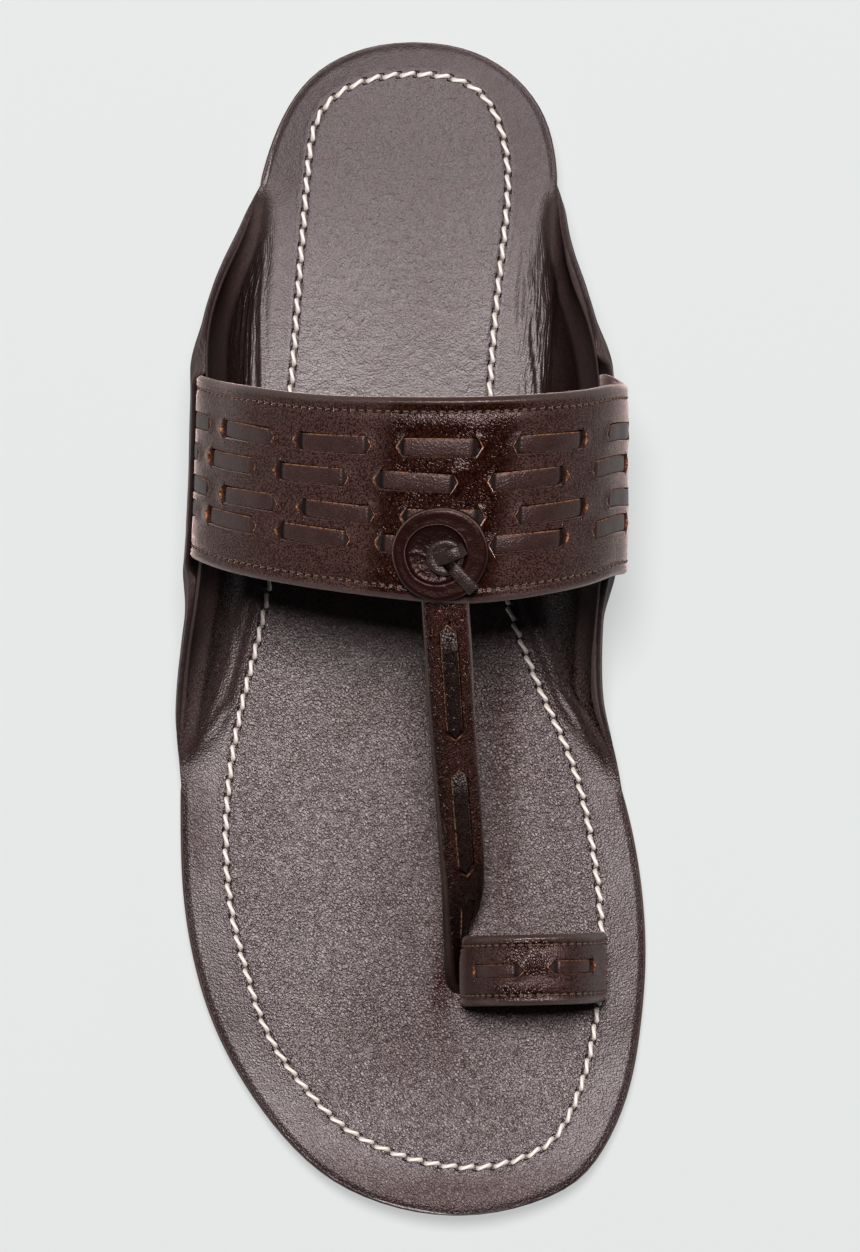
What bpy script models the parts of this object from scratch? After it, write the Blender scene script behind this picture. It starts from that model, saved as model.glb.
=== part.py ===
"""Toe post sandal for the right foot, made of leather sheets on a low sole.

Two leather sheets lie on the outsole and turn up along the waist as wings. The ends of the instep strap sit
between the two sheets of each wing. A toe strap runs from under the instep strap down to the post between the
big toe and the second toe, where a loop for the big toe starts. A leather button with a knotted thong holds the
toe strap to the instep strap.

Metres, +Z up. The toes point to -Y, the heel to +Y, and the inner (medial) side of the foot is at +X. The origin
is on the ground below the middle of the sandal. A station is a share of the length, from 0 at the heel tip to 1
at the toe tip. Widths in the tables are shares of the ball width, and heights are shares of the instep height.
"""

import math
from collections import namedtuple

import bmesh
import bpy
import numpy as np

MM = 0.001

# The last.
LENGTH = 275.0 * MM
BALL_WIDTH = 109.0 * MM
INSTEP_HEIGHT = 84.5 * MM
HEEL_HEIGHT = 8.0 * MM
TOE_SPRING = 4.8 * MM
WING_RISE = 26.0 * MM

# Leather.
INSOLE_THICK = 1.2 * MM
MIDSOLE_THICK = 1.2 * MM
OUTSOLE_THICK = 5.0 * MM
STRAP_THICK = 2.4 * MM
TOE_STRAP_THICK = 2.8 * MM
LOOP_THICK = 2.4 * MM
GAP = 0.3 * MM
SLIP = 0.42 * MM
ROOT_THICK = 1.5 * MM
OUTSOLE_MARGIN = 0.6 * MM

# Where the last changes along its length, as stations.
HEEL_SEAT_END = 0.18
BREAST = (0.280, 0.282)
WAIST_END = 0.62
TREAD_END = 0.84
TOE_SPRING_POWER = 1.7
CONTACT_RISE = 0.5 * MM
SEAT_HEIGHT = OUTSOLE_THICK + MIDSOLE_THICK + INSOLE_THICK + 2 * GAP

# The outline of the insole's top face.
HEEL_TIP = 0.005
TOE_TIP = 0.097
Edge = namedtuple("Edge", "station lateral medial")
OUTLINE = (
    Edge(0.010, -0.131, 0.142),
    Edge(0.030, -0.211, 0.221),
    Edge(0.060, -0.267, 0.279),
    Edge(0.125, -0.324, 0.312),
    Edge(0.160, -0.347, 0.316),
    Edge(0.200, -0.389, 0.340),
    Edge(0.250, -0.423, 0.376),
    Edge(0.300, -0.427, 0.392),
    Edge(0.370, -0.431, 0.397),
    Edge(0.460, -0.446, 0.395),
    Edge(0.540, -0.479, 0.388),
    Edge(0.570, -0.488, 0.396),
    Edge(0.610, -0.493, 0.428),
    Edge(0.660, -0.494, 0.466),
    Edge(0.730, -0.487, 0.496),
    Edge(0.780, -0.467, 0.502),
    Edge(0.840, -0.420, 0.491),
    Edge(0.890, -0.353, 0.468),
    Edge(0.935, -0.267, 0.423),
    Edge(0.970, -0.166, 0.355),
    Edge(0.988, -0.071, 0.268),
)

# Where each wing folds up, as a share of the way from the section's middle to its edge, and how far it rises, as
# a share of WING_RISE.
Wing = namedtuple("Wing", "station lateral_fold lateral_rise medial_fold medial_rise")
WINGS = (
    Wing(0.000, 0.85, 0.00, 0.85, 0.00),
    Wing(0.110, 0.84, 0.00, 0.86, 0.00),
    Wing(0.155, 0.80, 0.19, 0.84, 0.19),
    Wing(0.200, 0.71, 0.46, 0.76, 0.47),
    Wing(0.250, 0.69, 0.73, 0.67, 0.78),
    Wing(0.300, 0.71, 0.88, 0.61, 0.92),
    Wing(0.375, 0.73, 0.94, 0.60, 1.00),
    Wing(0.455, 0.75, 0.86, 0.65, 0.91),
    Wing(0.500, 0.74, 0.68, 0.71, 0.73),
    Wing(0.540, 0.76, 0.42, 0.79, 0.47),
    Wing(0.575, 0.80, 0.23, 0.87, 0.24),
    Wing(0.620, 0.84, 0.04, 0.88, 0.05),
    Wing(0.660, 0.85, 0.00, 0.88, 0.00),
    Wing(1.000, 0.85, 0.00, 0.88, 0.00),
)
# The wing's curve from fold to edge: how far across and up its third control point lies.
WING_KNEE = 0.62
WING_LEAN = 0.86
WING_SHOULDER = 0.45

# The instep strap. Its roots are skived thin and lie between the sheets at these shares of a wing's curve.
ROOT_SHARES = (0.50, 0.62, 0.75, 0.88, 1.00)
ROOT_LATERAL = (0.292, 0.445)
ROOT_MEDIAL = (0.291, 0.455)
Arch = namedtuple("Arch", "across rear_station rear_up front_station front_up")
ARCH = (
    Arch(-0.413, 0.300, 0.586, 0.457, 0.592),
    Arch(-0.349, 0.308, 0.728, 0.465, 0.680),
    Arch(-0.220, 0.318, 0.864, 0.476, 0.781),
    Arch(-0.055, 0.323, 0.959, 0.486, 0.858),
    Arch(0.128, 0.324, 0.998, 0.491, 0.888),
    Arch(0.275, 0.321, 0.970, 0.484, 0.864),
    Arch(0.385, 0.314, 0.858, 0.473, 0.757),
    Arch(0.438, 0.307, 0.728, 0.464, 0.640),
    Arch(0.458, 0.303, 0.600, 0.460, 0.520),
)

# The pocket that the sheets open for a strap's root: its stations, the fade beyond them and along the wing.
POCKET = (0.286, 0.453)
POCKET_FADE = 0.045
POCKET_LOW = 0.10
POCKET_FULL = 0.36

# The strap reaches its full thickness between these shares of its length from either end.
SKIVE = (0.12, 0.19)

# The toe strap's two edges, in millimetres, from under the instep strap down to the slot in the insole. It turns
# a quarter round on its way, so that it stands edgeways in the slot.
Edges = namedtuple("Edges", "lateral_x lateral_y lateral_z medial_x medial_y medial_z")
TOE_STRAP = (
    Edges(1.8, 24.0, 75.2, 12.6, 23.8, 76.3),
    Edges(2.6, 2.1, 71.0, 13.3, 1.7, 71.8),
    Edges(3.1, -5.5, 67.6, 13.9, -5.5, 67.6),
    Edges(3.7, -15.5, 61.9, 14.4, -14.7, 60.7),
    Edges(4.7, -28.3, 52.7, 15.1, -26.7, 50.7),
    Edges(5.9, -42.3, 42.2, 16.1, -40.2, 39.4),
    Edges(6.9, -53.7, 33.6, 16.7, -50.8, 30.2),
    Edges(7.7, -62.8, 27.0, 16.8, -58.7, 21.8),
    Edges(8.3, -71.6, 20.6, 15.5, -65.5, 14.9),
    Edges(9.0, -79.6, 15.0, 12.3, -71.0, 9.9),
    Edges(10.1, -86.2, 7.0, 10.5, -75.6, 7.0),
)

# The loop for the big toe, a squared arch standing in the insole.
LOOP_STATION = 0.792
LOOP_MIDDLE = 0.263
LOOP_SPAN = 34.6 * MM
LOOP_RISE = 22.8 * MM
LOOP_WIDTH = 16.4 * MM
LOOP_SQUARENESS = 2.5
LOOP_RAKE = 0.7 * MM

# The button on the instep strap, as radius and height of its turned profile, and the knot on it.
BUTTON_ACROSS = 0.063
BUTTON_WIDTH_SHARE = 0.755
Ring = namedtuple("Ring", "radius height")
BUTTON_PROFILE = (
    Ring(10.2 * MM, 0.0 * MM),
    Ring(10.8 * MM, 0.8 * MM),
    Ring(10.5 * MM, 1.9 * MM),
    Ring(9.6 * MM, 2.4 * MM),
    Ring(7.1 * MM, 2.3 * MM),
    Ring(6.5 * MM, 1.5 * MM),
    Ring(3.0 * MM, 1.0 * MM),
)
BUTTON_SIDES = 24
BUTTON_LIFT = 0.45 * MM
KNOT_WASHER_RADIUS = 4.2 * MM
KNOT_WASHER_HEIGHT = 1.2 * MM
THONG_WIDTH = 3.0 * MM
THONG_THICK = 1.5 * MM

# How finely the solids are divided.
CAP_ROWS = 9
OUTLINE_STEPS = 4001
WING_STEPS = 51
OUTSOLE_COLUMNS = 7
SHEET_WING_COLUMNS = 5
SHEET_MIDDLE_COLUMNS = 4
STRAP_COLUMNS = 36
STRAP_ROWS = 5
LOOP_STEPS = 18
TOE_STRAP_STEPS = 27
THONG_STEPS = 11
PATCH_COLUMNS = 241
PATCH_ROWS = 97

Leather = namedtuple("Leather", "colour roughness")
INSOLE_LEATHER = Leather((0.060, 0.034, 0.031, 1.0), 0.50)
MIDSOLE_LEATHER = Leather((0.040, 0.022, 0.019, 1.0), 0.55)
OUTSOLE_LEATHER = Leather((0.110, 0.045, 0.030, 1.0), 0.60)
STRAP_LEATHER = Leather((0.045, 0.020, 0.016, 1.0), 0.40)
BUTTON_LEATHER = Leather((0.040, 0.016, 0.013, 1.0), 0.35)
THONG_LEATHER = Leather((0.035, 0.025, 0.023, 1.0), 0.45)


def smoothstep(value, low, high):
    """0 below low, 1 above high, and a smooth rise between them."""
    share = np.clip((value - low) / (high - low), 0.0, 1.0)
    return share * share * (3.0 - 2.0 * share)


def unit(vectors):
    """Vectors scaled to length 1."""
    return vectors / np.linalg.norm(vectors, axis=-1, keepdims=True)


def spline(points, count, closed=False):
    """count points on the smooth curve through the given points, spaced evenly along each chord."""
    knots = np.array(points, float)
    if closed:
        knots = np.vstack([knots, knots[:1]])
    spans = np.linalg.norm(np.diff(knots, axis=0), axis=1)
    slopes = np.diff(knots, axis=0) / spans[:, None]
    size = len(knots)
    matrix = np.zeros((size, size))
    right = np.zeros_like(knots)
    for i in range(1, size - 1):
        before, after = 1.0 / spans[i - 1], 1.0 / spans[i]
        matrix[i, i - 1 : i + 2] = before, 2.0 * (before + after), after
        right[i] = 3.0 * (slopes[i - 1] * before + slopes[i] * after)
    if closed:
        before, after = 1.0 / spans[-1], 1.0 / spans[0]
        matrix[0, [size - 2, 0, 1]] = before, 2.0 * (before + after), after
        right[0] = 3.0 * (slopes[-1] * before + slopes[0] * after)
        matrix[-1, [0, -1]] = 1.0, -1.0
    else:
        matrix[0, :2] = 2.0, 1.0
        matrix[-1, -2:] = 1.0, 2.0
        right[0], right[-1] = 3.0 * slopes[0], 3.0 * slopes[-1]
    tangents = np.linalg.solve(matrix, right)
    along = np.concatenate([[0.0], np.cumsum(spans)])
    wanted = np.linspace(0.0, along[-1], count)
    piece = np.clip(np.searchsorted(along, wanted, side="right") - 1, 0, size - 2)
    span = spans[piece][:, None]
    share = (wanted - along[piece])[:, None] / span
    start = knots[piece] * (1 + 2 * share) * (1 - share) ** 2
    end = knots[piece + 1] * share**2 * (3 - 2 * share)
    leave = tangents[piece] * span * share * (1 - share) ** 2
    arrive = tangents[piece + 1] * span * share**2 * (share - 1)
    return start + end + leave + arrive


def along_table(table, column, station):
    """A table's column at any station, with a smooth curve that never overshoots the rows."""
    stations = np.array([row.station for row in table])
    values = np.array([getattr(row, column) for row in table])
    steps = np.diff(stations)
    slopes = np.diff(values) / steps
    tangents = np.zeros_like(values)
    for i in range(1, len(values) - 1):
        if slopes[i - 1] * slopes[i] > 0:
            tangents[i] = 2.0 * slopes[i - 1] * slopes[i] / (slopes[i - 1] + slopes[i])
    where = np.clip(station, stations[0], stations[-1])
    piece = np.clip(np.searchsorted(stations, where, side="right") - 1, 0, len(steps) - 1)
    step = steps[piece]
    share = (where - stations[piece]) / step
    start = values[piece] * (1 + 2 * share) * (1 - share) ** 2
    end = values[piece + 1] * share**2 * (3 - 2 * share)
    leave = tangents[piece] * step * share * (1 - share) ** 2
    arrive = tangents[piece + 1] * step * share**2 * (share - 1)
    return start + end + leave + arrive


def place(station):
    """A station's Y."""
    return (0.5 - station) * LENGTH


def lift(station):
    """How far the forepart's level is raised by the heel and the toe spring."""
    heel = HEEL_HEIGHT * (1.0 - smoothstep(station, HEEL_SEAT_END, WAIST_END))
    beyond = np.clip((station - TREAD_END) / (1.0 - TREAD_END), 0.0, 1.0)
    return heel + TOE_SPRING * beyond**TOE_SPRING_POWER


def outline_edges(stations):
    """The outline's lateral and medial X at each station."""
    loop = [(HEEL_TIP * BALL_WIDTH, place(0.0))]
    loop += [(row.medial * BALL_WIDTH, place(row.station)) for row in OUTLINE]
    loop += [(TOE_TIP * BALL_WIDTH, place(1.0))]
    loop += [(row.lateral * BALL_WIDTH, place(row.station)) for row in reversed(OUTLINE)]
    curve = spline(loop, OUTLINE_STEPS, closed=True)
    toe = int(np.argmin(curve[:, 1]))
    medial, lateral = curve[: toe + 1], curve[toe:]
    y = place(stations)
    medial_x = np.interp(-y, -medial[:, 1], medial[:, 0])
    lateral_x = np.interp(y, lateral[:, 1], lateral[:, 0])
    return lateral_x, medial_x


def sheet_stations():
    """The stations of the sheets' rows: close together round the toe and heel, and one at each edge of a
    pocket, of the flat tread and of the heel's front."""
    turn = 1.0 - np.cos(0.5 * math.pi * (np.arange(CAP_ROWS) + 0.4) / CAP_ROWS)
    heel = 0.125 * turn
    toe = 1.0 - 0.16 * turn
    waist = np.array([0.125, 0.155, 0.185, 0.215, 0.245, 0.266])
    strap = np.linspace(POCKET[0], POCKET[1], 6)
    ball = np.array([0.481, 0.505, 0.53, 0.555, 0.585, WAIST_END, 0.66, 0.70, 0.74, 0.775, 0.81, TREAD_END])
    return np.unique(np.concatenate([heel, waist, strap, ball, toe]).round(6))


def wing_curve(share, reach, rise):
    """How far a wing has gone across and up at a share of its curve."""
    first = 3.0 * share * (1.0 - share) ** 2
    second = 3.0 * share**2 * (1.0 - share)
    last = share**3
    return reach * (first * WING_KNEE + second * WING_LEAN + last), rise * (second * WING_SHOULDER + last)


def side_values(stations, side):
    """A wing's fold X, reach and rise at each station."""
    lateral, medial = outline_edges(stations)
    middle = 0.5 * (lateral + medial)
    edge = lateral if side == "lateral" else medial
    fold = middle + along_table(WINGS, side + "_fold", stations) * (edge - middle)
    rise = WING_RISE * along_table(WINGS, side + "_rise", stations)
    return fold, edge - fold, rise


def sheet_top(stations, wing_shares, middle_shares):
    """The insole's top face as a grid of points, a row for each station, from the lateral to the medial edge."""
    seat = SEAT_HEIGHT + lift(stations)
    columns = []
    lateral_fold, lateral_reach, lateral_rise = side_values(stations, "lateral")
    medial_fold, medial_reach, medial_rise = side_values(stations, "medial")
    for share in wing_shares[::-1]:
        across, up = wing_curve(share, lateral_reach, lateral_rise)
        columns.append((lateral_fold + across, seat + up))
    for share in middle_shares:
        columns.append((lateral_fold + share * (medial_fold - lateral_fold), seat))
    for share in wing_shares:
        across, up = wing_curve(share, medial_reach, medial_rise)
        columns.append((medial_fold + across, seat + up))
    x = np.stack([column[0] for column in columns], axis=1)
    z = np.stack([column[1] for column in columns], axis=1)
    y = np.repeat(place(stations)[:, None], x.shape[1], axis=1)
    return np.stack([x, y, z], axis=2)


def grid_normals(grid):
    """The unit normals of a grid of points."""
    down = np.gradient(grid, axis=0)
    across = np.gradient(grid, axis=1)
    return unit(np.cross(down, across))


def solid(name, vertices, faces, leather):
    """A closed mesh object with a leather material of its own."""
    mesh = bpy.data.meshes.new(name)
    mesh.from_pydata([tuple(vertex) for vertex in vertices], [], faces)
    tidy = bmesh.new()
    tidy.from_mesh(mesh)
    bmesh.ops.recalc_face_normals(tidy, faces=tidy.faces)
    if tidy.calc_volume(signed=True) < 0:
        bmesh.ops.reverse_faces(tidy, faces=tidy.faces)
    tidy.to_mesh(mesh)
    tidy.free()
    mesh.shade_smooth()
    mesh.set_sharp_from_angle(angle=math.radians(40))
    material = bpy.data.materials.new(name)
    material.use_nodes = True
    shader = material.node_tree.nodes["Principled BSDF"]
    shader.inputs["Base Color"].default_value = leather.colour
    shader.inputs["Roughness"].default_value = leather.roughness
    shader.inputs["Metallic"].default_value = 0.0
    mesh.materials.append(material)
    piece = bpy.data.objects.new(name, mesh)
    bpy.context.scene.collection.objects.link(piece)
    return piece


def between(name, top, bottom, leather):
    """The solid between two grids of points of the same shape."""
    rows, columns = top.shape[:2]
    count = rows * columns
    index = np.arange(count).reshape(rows, columns)
    a, b, c, d = [corner.ravel() for corner in (index[:-1, :-1], index[:-1, 1:], index[1:, 1:], index[1:, :-1])]
    halves = np.concatenate([np.stack([a, b, c], axis=1), np.stack([a, c, d], axis=1)])
    faces = [tuple(face) for face in halves.tolist()]
    faces += [tuple(count + i for i in reversed(face)) for face in faces]
    rim = np.concatenate([index[0, :-1], index[:-1, -1], index[-1, :0:-1], index[:0:-1, 0]]).tolist()
    faces += [(a, a + count, b + count, b) for a, b in zip(rim, rim[1:] + rim[:1])]
    return solid(name, np.vstack([top.reshape(-1, 3), bottom.reshape(-1, 3)]), faces, leather)


def ribbon(name, path, sides, normals, width, thick, leather):
    """A strip of rectangular section along a path, whose points run through its middle."""
    half_side = 0.5 * width * sides
    half_up = 0.5 * thick * normals
    top = np.stack([path - half_side + half_up, path + half_side + half_up], axis=1)
    bottom = np.stack([path - half_side - half_up, path + half_side - half_up], axis=1)
    return between(name, top, bottom, leather)


def hide_tool(piece):
    """Marks a piece that only cuts or joins another."""
    piece.hide_render = True
    piece.display_type = "WIRE"


def boolean(piece, tool, operation):
    """Joins a tool to a piece or cuts the piece with it."""
    hide_tool(tool)
    modifier = piece.modifiers.new(operation.lower() + "_" + tool.name, "BOOLEAN")
    modifier.operation = operation
    modifier.object = tool


def pocket_depth(stations, wing_shares, middle_shares):
    """How far the two sheets lie apart at each point of the grid: the plain gap, or the pocket for a root."""
    along = smoothstep(stations, POCKET[0] - POCKET_FADE, POCKET[0])
    along = along * (1.0 - smoothstep(stations, POCKET[1], POCKET[1] + POCKET_FADE))
    up = smoothstep(np.array(wing_shares), POCKET_LOW, POCKET_FULL)
    across = np.concatenate([up[::-1], np.zeros(len(middle_shares)), up])
    extra = ROOT_THICK + 2.0 * SLIP - GAP
    return GAP + extra * along[:, None] * across[None, :]


def build_sheets():
    """The insole and the midsole, two sheets with the same outline and wings."""
    stations = sheet_stations()
    wing_shares = np.arange(1, SHEET_WING_COLUMNS + 1) / SHEET_WING_COLUMNS
    middle_shares = np.linspace(0.0, 1.0, SHEET_MIDDLE_COLUMNS + 1)
    top = sheet_top(stations, wing_shares, middle_shares)
    normals = grid_normals(top)
    insole = between("insole", top, top - normals * INSOLE_THICK, INSOLE_LEATHER)
    depth = pocket_depth(stations, wing_shares, middle_shares)[:, :, None]
    middle_top = top - normals * (INSOLE_THICK + depth)
    between("midsole", middle_top, middle_top - normals * MIDSOLE_THICK, MIDSOLE_LEATHER)
    return insole


def build_outsole():
    """The outsole, a little wider than the sheets lie flat on it, with a low heel in one piece with it."""
    stations = np.unique(np.concatenate([sheet_stations(), BREAST]).round(6))
    shares = np.linspace(0.0, 1.0, WING_STEPS)
    edges = {}
    for side in ("lateral", "medial"):
        fold, reach, rise = side_values(stations, side)
        edge = np.empty_like(fold)
        for i in range(len(stations)):
            across, up = wing_curve(shares, reach[i], rise[i])
            edge[i] = fold[i] + (reach[i] if rise[i] <= CONTACT_RISE else np.interp(CONTACT_RISE, up, across))
        edges[side] = edge
    lateral = edges["lateral"] - OUTSOLE_MARGIN
    medial = edges["medial"] + OUTSOLE_MARGIN
    spread = np.linspace(0.0, 1.0, OUTSOLE_COLUMNS)
    x = lateral[:, None] + spread[None, :] * (medial - lateral)[:, None]
    y = place(stations) * (1.0 + 2.0 * OUTSOLE_MARGIN / LENGTH)
    y = np.repeat(y[:, None], len(spread), axis=1)
    raised = lift(stations)
    ground = np.where(stations < BREAST[1], 0.0, raised)
    top = np.stack([x, y, np.repeat((raised + OUTSOLE_THICK)[:, None], len(spread), axis=1)], axis=2)
    bottom = np.stack([x, y, np.repeat(ground[:, None], len(spread), axis=1)], axis=2)
    between("outsole", top, bottom, OUTSOLE_LEATHER)


def wing_outside(stations, side, share, away):
    """Points on a wing's curve, moved away from the foot by a distance along its normal."""
    step = 0.01
    shares = (share - step, share)
    fold, reach, rise = side_values(stations, side)
    seat = SEAT_HEIGHT + lift(stations)
    low, high = [wing_curve(value, reach, rise) for value in shares]
    run, climb = high[0] - low[0], high[1] - low[1]
    size = np.hypot(run, climb)
    out_x, out_z = climb / size * np.sign(reach), -np.abs(run) / size
    x = fold + high[0] + away * out_x
    z = seat + high[1] + away * out_z
    return np.stack([x, place(stations), z], axis=1)


def strap_grid(columns, rows):
    """The instep strap's outer face: a grid of points from its lateral to its medial root, and from its rear
    edge to its front edge."""
    away = INSOLE_THICK + SLIP + ROOT_THICK
    share = np.linspace(0.0, 1.0, rows)
    lateral = ROOT_LATERAL[0] + share * (ROOT_LATERAL[1] - ROOT_LATERAL[0])
    medial = ROOT_MEDIAL[0] + share * (ROOT_MEDIAL[1] - ROOT_MEDIAL[0])
    lines = [wing_outside(lateral, "lateral", root, away) for root in ROOT_SHARES]
    for row in ARCH:
        station = row.rear_station + share * (row.front_station - row.rear_station)
        up = row.rear_up + share * (row.front_up - row.rear_up)
        x = np.full_like(share, row.across * BALL_WIDTH)
        lines.append(np.stack([x, place(station), up * INSTEP_HEIGHT], axis=1))
    lines += [wing_outside(medial, "medial", root, away) for root in reversed(ROOT_SHARES)]
    lines = np.array(lines)
    return np.stack([spline(lines[:, i], columns) for i in range(rows)], axis=1)


def build_instep_strap():
    """The instep strap, the upper's main piece."""
    outer = strap_grid(STRAP_COLUMNS + 1, STRAP_ROWS + 1)
    normals = grid_normals(outer)
    normals *= np.sign(normals[STRAP_COLUMNS // 2, 0, 2])
    share = np.linspace(0.0, 1.0, STRAP_COLUMNS + 1)
    full = smoothstep(np.minimum(share, 1.0 - share), SKIVE[0], SKIVE[1])
    thick = ROOT_THICK + (STRAP_THICK - ROOT_THICK) * full
    return between("upper", outer, outer - normals * thick[:, None, None], STRAP_LEATHER)


def build_toe_strap():
    """The strip from the instep strap to the post, which turns a quarter round on its way down."""
    rows = spline(np.array(TOE_STRAP) * MM, TOE_STRAP_STEPS)
    lateral, medial = rows[:, :3], rows[:, 3:]
    path = 0.5 * (lateral + medial)
    widths = np.linalg.norm(medial - lateral, axis=1, keepdims=True)
    sides = (medial - lateral) / widths
    normals = unit(np.cross(sides, np.gradient(path, axis=0)))
    normals *= np.sign(normals[0, 2])
    return ribbon("toe_strap", path, sides, normals, widths, TOE_STRAP_THICK, STRAP_LEATHER)


def build_toe_loop():
    """The big toe's loop, a squared arch whose two feet stand in slots of the insole."""
    foot = SEAT_HEIGHT - INSOLE_THICK
    turns = np.linspace(math.pi, 0.0, LOOP_STEPS + 1)
    power = 2.0 / LOOP_SQUARENESS
    half = 0.5 * (LOOP_SPAN - LOOP_THICK)
    rise = LOOP_RISE - 0.5 * LOOP_THICK
    x = half * np.sign(np.cos(turns)) * np.abs(np.cos(turns)) ** power
    z = SEAT_HEIGHT + rise * np.sin(turns) ** power
    x = np.concatenate([x[:1], x, x[-1:]]) + LOOP_MIDDLE * BALL_WIDTH
    z = np.concatenate([[foot], z, [foot]])
    y = np.full_like(x, place(LOOP_STATION)) + LOOP_RAKE * np.linspace(-1.0, 1.0, len(x))
    path = np.stack([x, y, z], axis=1)
    tangents = unit(np.gradient(path, axis=0))
    sides = np.tile([0.0, -1.0, 0.0], (len(path), 1))
    normals = unit(np.cross(sides, tangents))
    normals *= np.sign(normals[len(path) // 2, 2])
    return ribbon("toe_loop", path, sides, normals, LOOP_WIDTH, LOOP_THICK, STRAP_LEATHER)


def block(name, low, high, leather):
    """A plain block between two corners."""
    x, y = np.array([low[0], high[0]]), np.array([low[1], high[1]])
    flat = np.stack(np.meshgrid(x, y, indexing="ij") + [np.zeros((2, 2))], axis=2)
    top, bottom = flat.copy(), flat.copy()
    top[:, :, 2], bottom[:, :, 2] = high[2], low[2]
    return between(name, top, bottom, leather)


def cut_slots(insole):
    """Cuts the slot for the post and the slot for the loop's medial foot."""
    middle = LOOP_MIDDLE * BALL_WIDTH
    post = 0.5 * (TOE_STRAP[-1].lateral_x + TOE_STRAP[-1].medial_x) * MM
    y = place(LOOP_STATION)
    reach = 0.5 * LOOP_WIDTH + LOOP_RAKE + GAP
    low, high = SEAT_HEIGHT - 3.0 * MM, SEAT_HEIGHT + 3.0 * MM
    outer = middle - 0.5 * LOOP_SPAN + LOOP_THICK + GAP
    slots = {
        "post_slot": (post - 0.5 * TOE_STRAP_THICK - 2.0 * GAP, outer),
        "loop_slot": (middle + 0.5 * LOOP_SPAN - LOOP_THICK - GAP, middle + 0.5 * LOOP_SPAN + GAP),
    }
    for name, (left, right) in slots.items():
        tool = block(name, (left, y - reach, low), (right, y + reach, high), INSOLE_LEATHER)
        boolean(insole, tool, "DIFFERENCE")


def button_frame():
    """The strap's outer face round the button: its grid and normals, the button's middle as a column and a row,
    and the lengths of one column and one row."""
    grid = strap_grid(PATCH_COLUMNS, PATCH_ROWS)
    normals = grid_normals(grid)
    normals *= np.sign(normals[PATCH_COLUMNS // 2, 0, 2])
    row = int(round(BUTTON_WIDTH_SHARE * (PATCH_ROWS - 1)))
    centre = PATCH_COLUMNS // 4
    centre += int(np.argmin(np.abs(grid[centre : 3 * centre, row, 0] - BUTTON_ACROSS * BALL_WIDTH)))
    column_length = np.linalg.norm(grid[centre + 1, row] - grid[centre - 1, row]) / 2.0
    row_length = np.linalg.norm(grid[centre, row + 1] - grid[centre, row - 1]) / 2.0
    return grid, normals, (centre, row), (column_length, row_length)


def on_strap(frame, along, toward_toe, height):
    """A point at a place on the button's patch of the strap, raised above it."""
    grid, normals, centre, lengths = frame
    column = centre[0] + along / lengths[0]
    row = min(centre[1] + toward_toe / lengths[1], grid.shape[1] - 1.001)
    c, r = int(column), int(row)
    s, t = column - c, row - r
    weights = ((c, r, (1 - s) * (1 - t)), (c + 1, r, s * (1 - t)), (c, r + 1, (1 - s) * t), (c + 1, r + 1, s * t))
    point = sum(grid[a, b] * w for a, b, w in weights)
    normal = unit(sum(normals[a, b] * w for a, b, w in weights))
    return point + normal * height


def turned(name, frame, middle, profile, leather):
    """A turned solid laid on the strap: a profile of rings from its underside over its rim to its top."""
    vertices = []
    for ring in profile:
        for i in range(BUTTON_SIDES):
            turn = 2.0 * math.pi * i / BUTTON_SIDES
            across = middle[0] + ring.radius * math.cos(turn)
            toward = middle[1] + ring.radius * math.sin(turn)
            vertices.append(on_strap(frame, across, toward, ring.height))
    low_middle = len(vertices)
    vertices.append(on_strap(frame, middle[0], middle[1], profile[0].height))
    vertices.append(on_strap(frame, middle[0], middle[1], profile[-1].height))
    faces = []
    for j in range(len(profile) - 1):
        for i in range(BUTTON_SIDES):
            k = (i + 1) % BUTTON_SIDES
            a, b = j * BUTTON_SIDES, (j + 1) * BUTTON_SIDES
            faces.append((a + i, a + k, b + k, b + i))
    last = (len(profile) - 1) * BUTTON_SIDES
    for i in range(BUTTON_SIDES):
        k = (i + 1) % BUTTON_SIDES
        faces.append((low_middle, k, i))
        faces.append((low_middle + 1, last + i, last + k))
    return solid(name, vertices, faces, leather)


def thong(name, frame, bends, leather):
    """A flat thong through bends given as along the strap, toward the toe and above the strap."""
    rows = [on_strap(frame, along * MM, toward * MM, height * MM) for along, toward, height in bends]
    path = spline(rows, THONG_STEPS)
    tangents = unit(np.gradient(path, axis=0))
    _, normals, centre, _ = frame
    up = normals[centre]
    sides = unit(np.cross(tangents, up))
    return ribbon(name, path, sides, np.cross(sides, tangents), THONG_WIDTH, THONG_THICK, leather)


def build_button_and_knot():
    """The button, and the knot that holds it: a washer, a folded thong and the thong's loose end."""
    frame = button_frame()
    rings = [Ring(ring.radius, ring.height + BUTTON_LIFT) for ring in BUTTON_PROFILE]
    turned("button", frame, (0.0, 0.0), rings, BUTTON_LEATHER)
    low = BUTTON_PROFILE[-1].height + BUTTON_LIFT + 2.0 * GAP
    washer = (
        Ring(0.85 * KNOT_WASHER_RADIUS, low),
        Ring(KNOT_WASHER_RADIUS, low + 0.4 * KNOT_WASHER_HEIGHT),
        Ring(0.90 * KNOT_WASHER_RADIUS, low + KNOT_WASHER_HEIGHT),
    )
    knot = turned("knot", frame, (1.3 * MM, 0.5 * MM), washer, THONG_LEATHER)
    fold = ((-0.4, 1.0, 3.4), (2.0, 0.0, 4.3), (4.2, -1.0, 4.2), (5.2, -1.5, 3.4))
    tail = ((1.6, 1.0, 3.5), (3.4, 2.8, 3.8), (5.6, 5.2, 4.0), (8.0, 7.8, 3.9))
    boolean(knot, thong("knot_fold", frame, fold, THONG_LEATHER), "UNION")
    boolean(knot, thong("knot_tail", frame, tail, THONG_LEATHER), "UNION")


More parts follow.
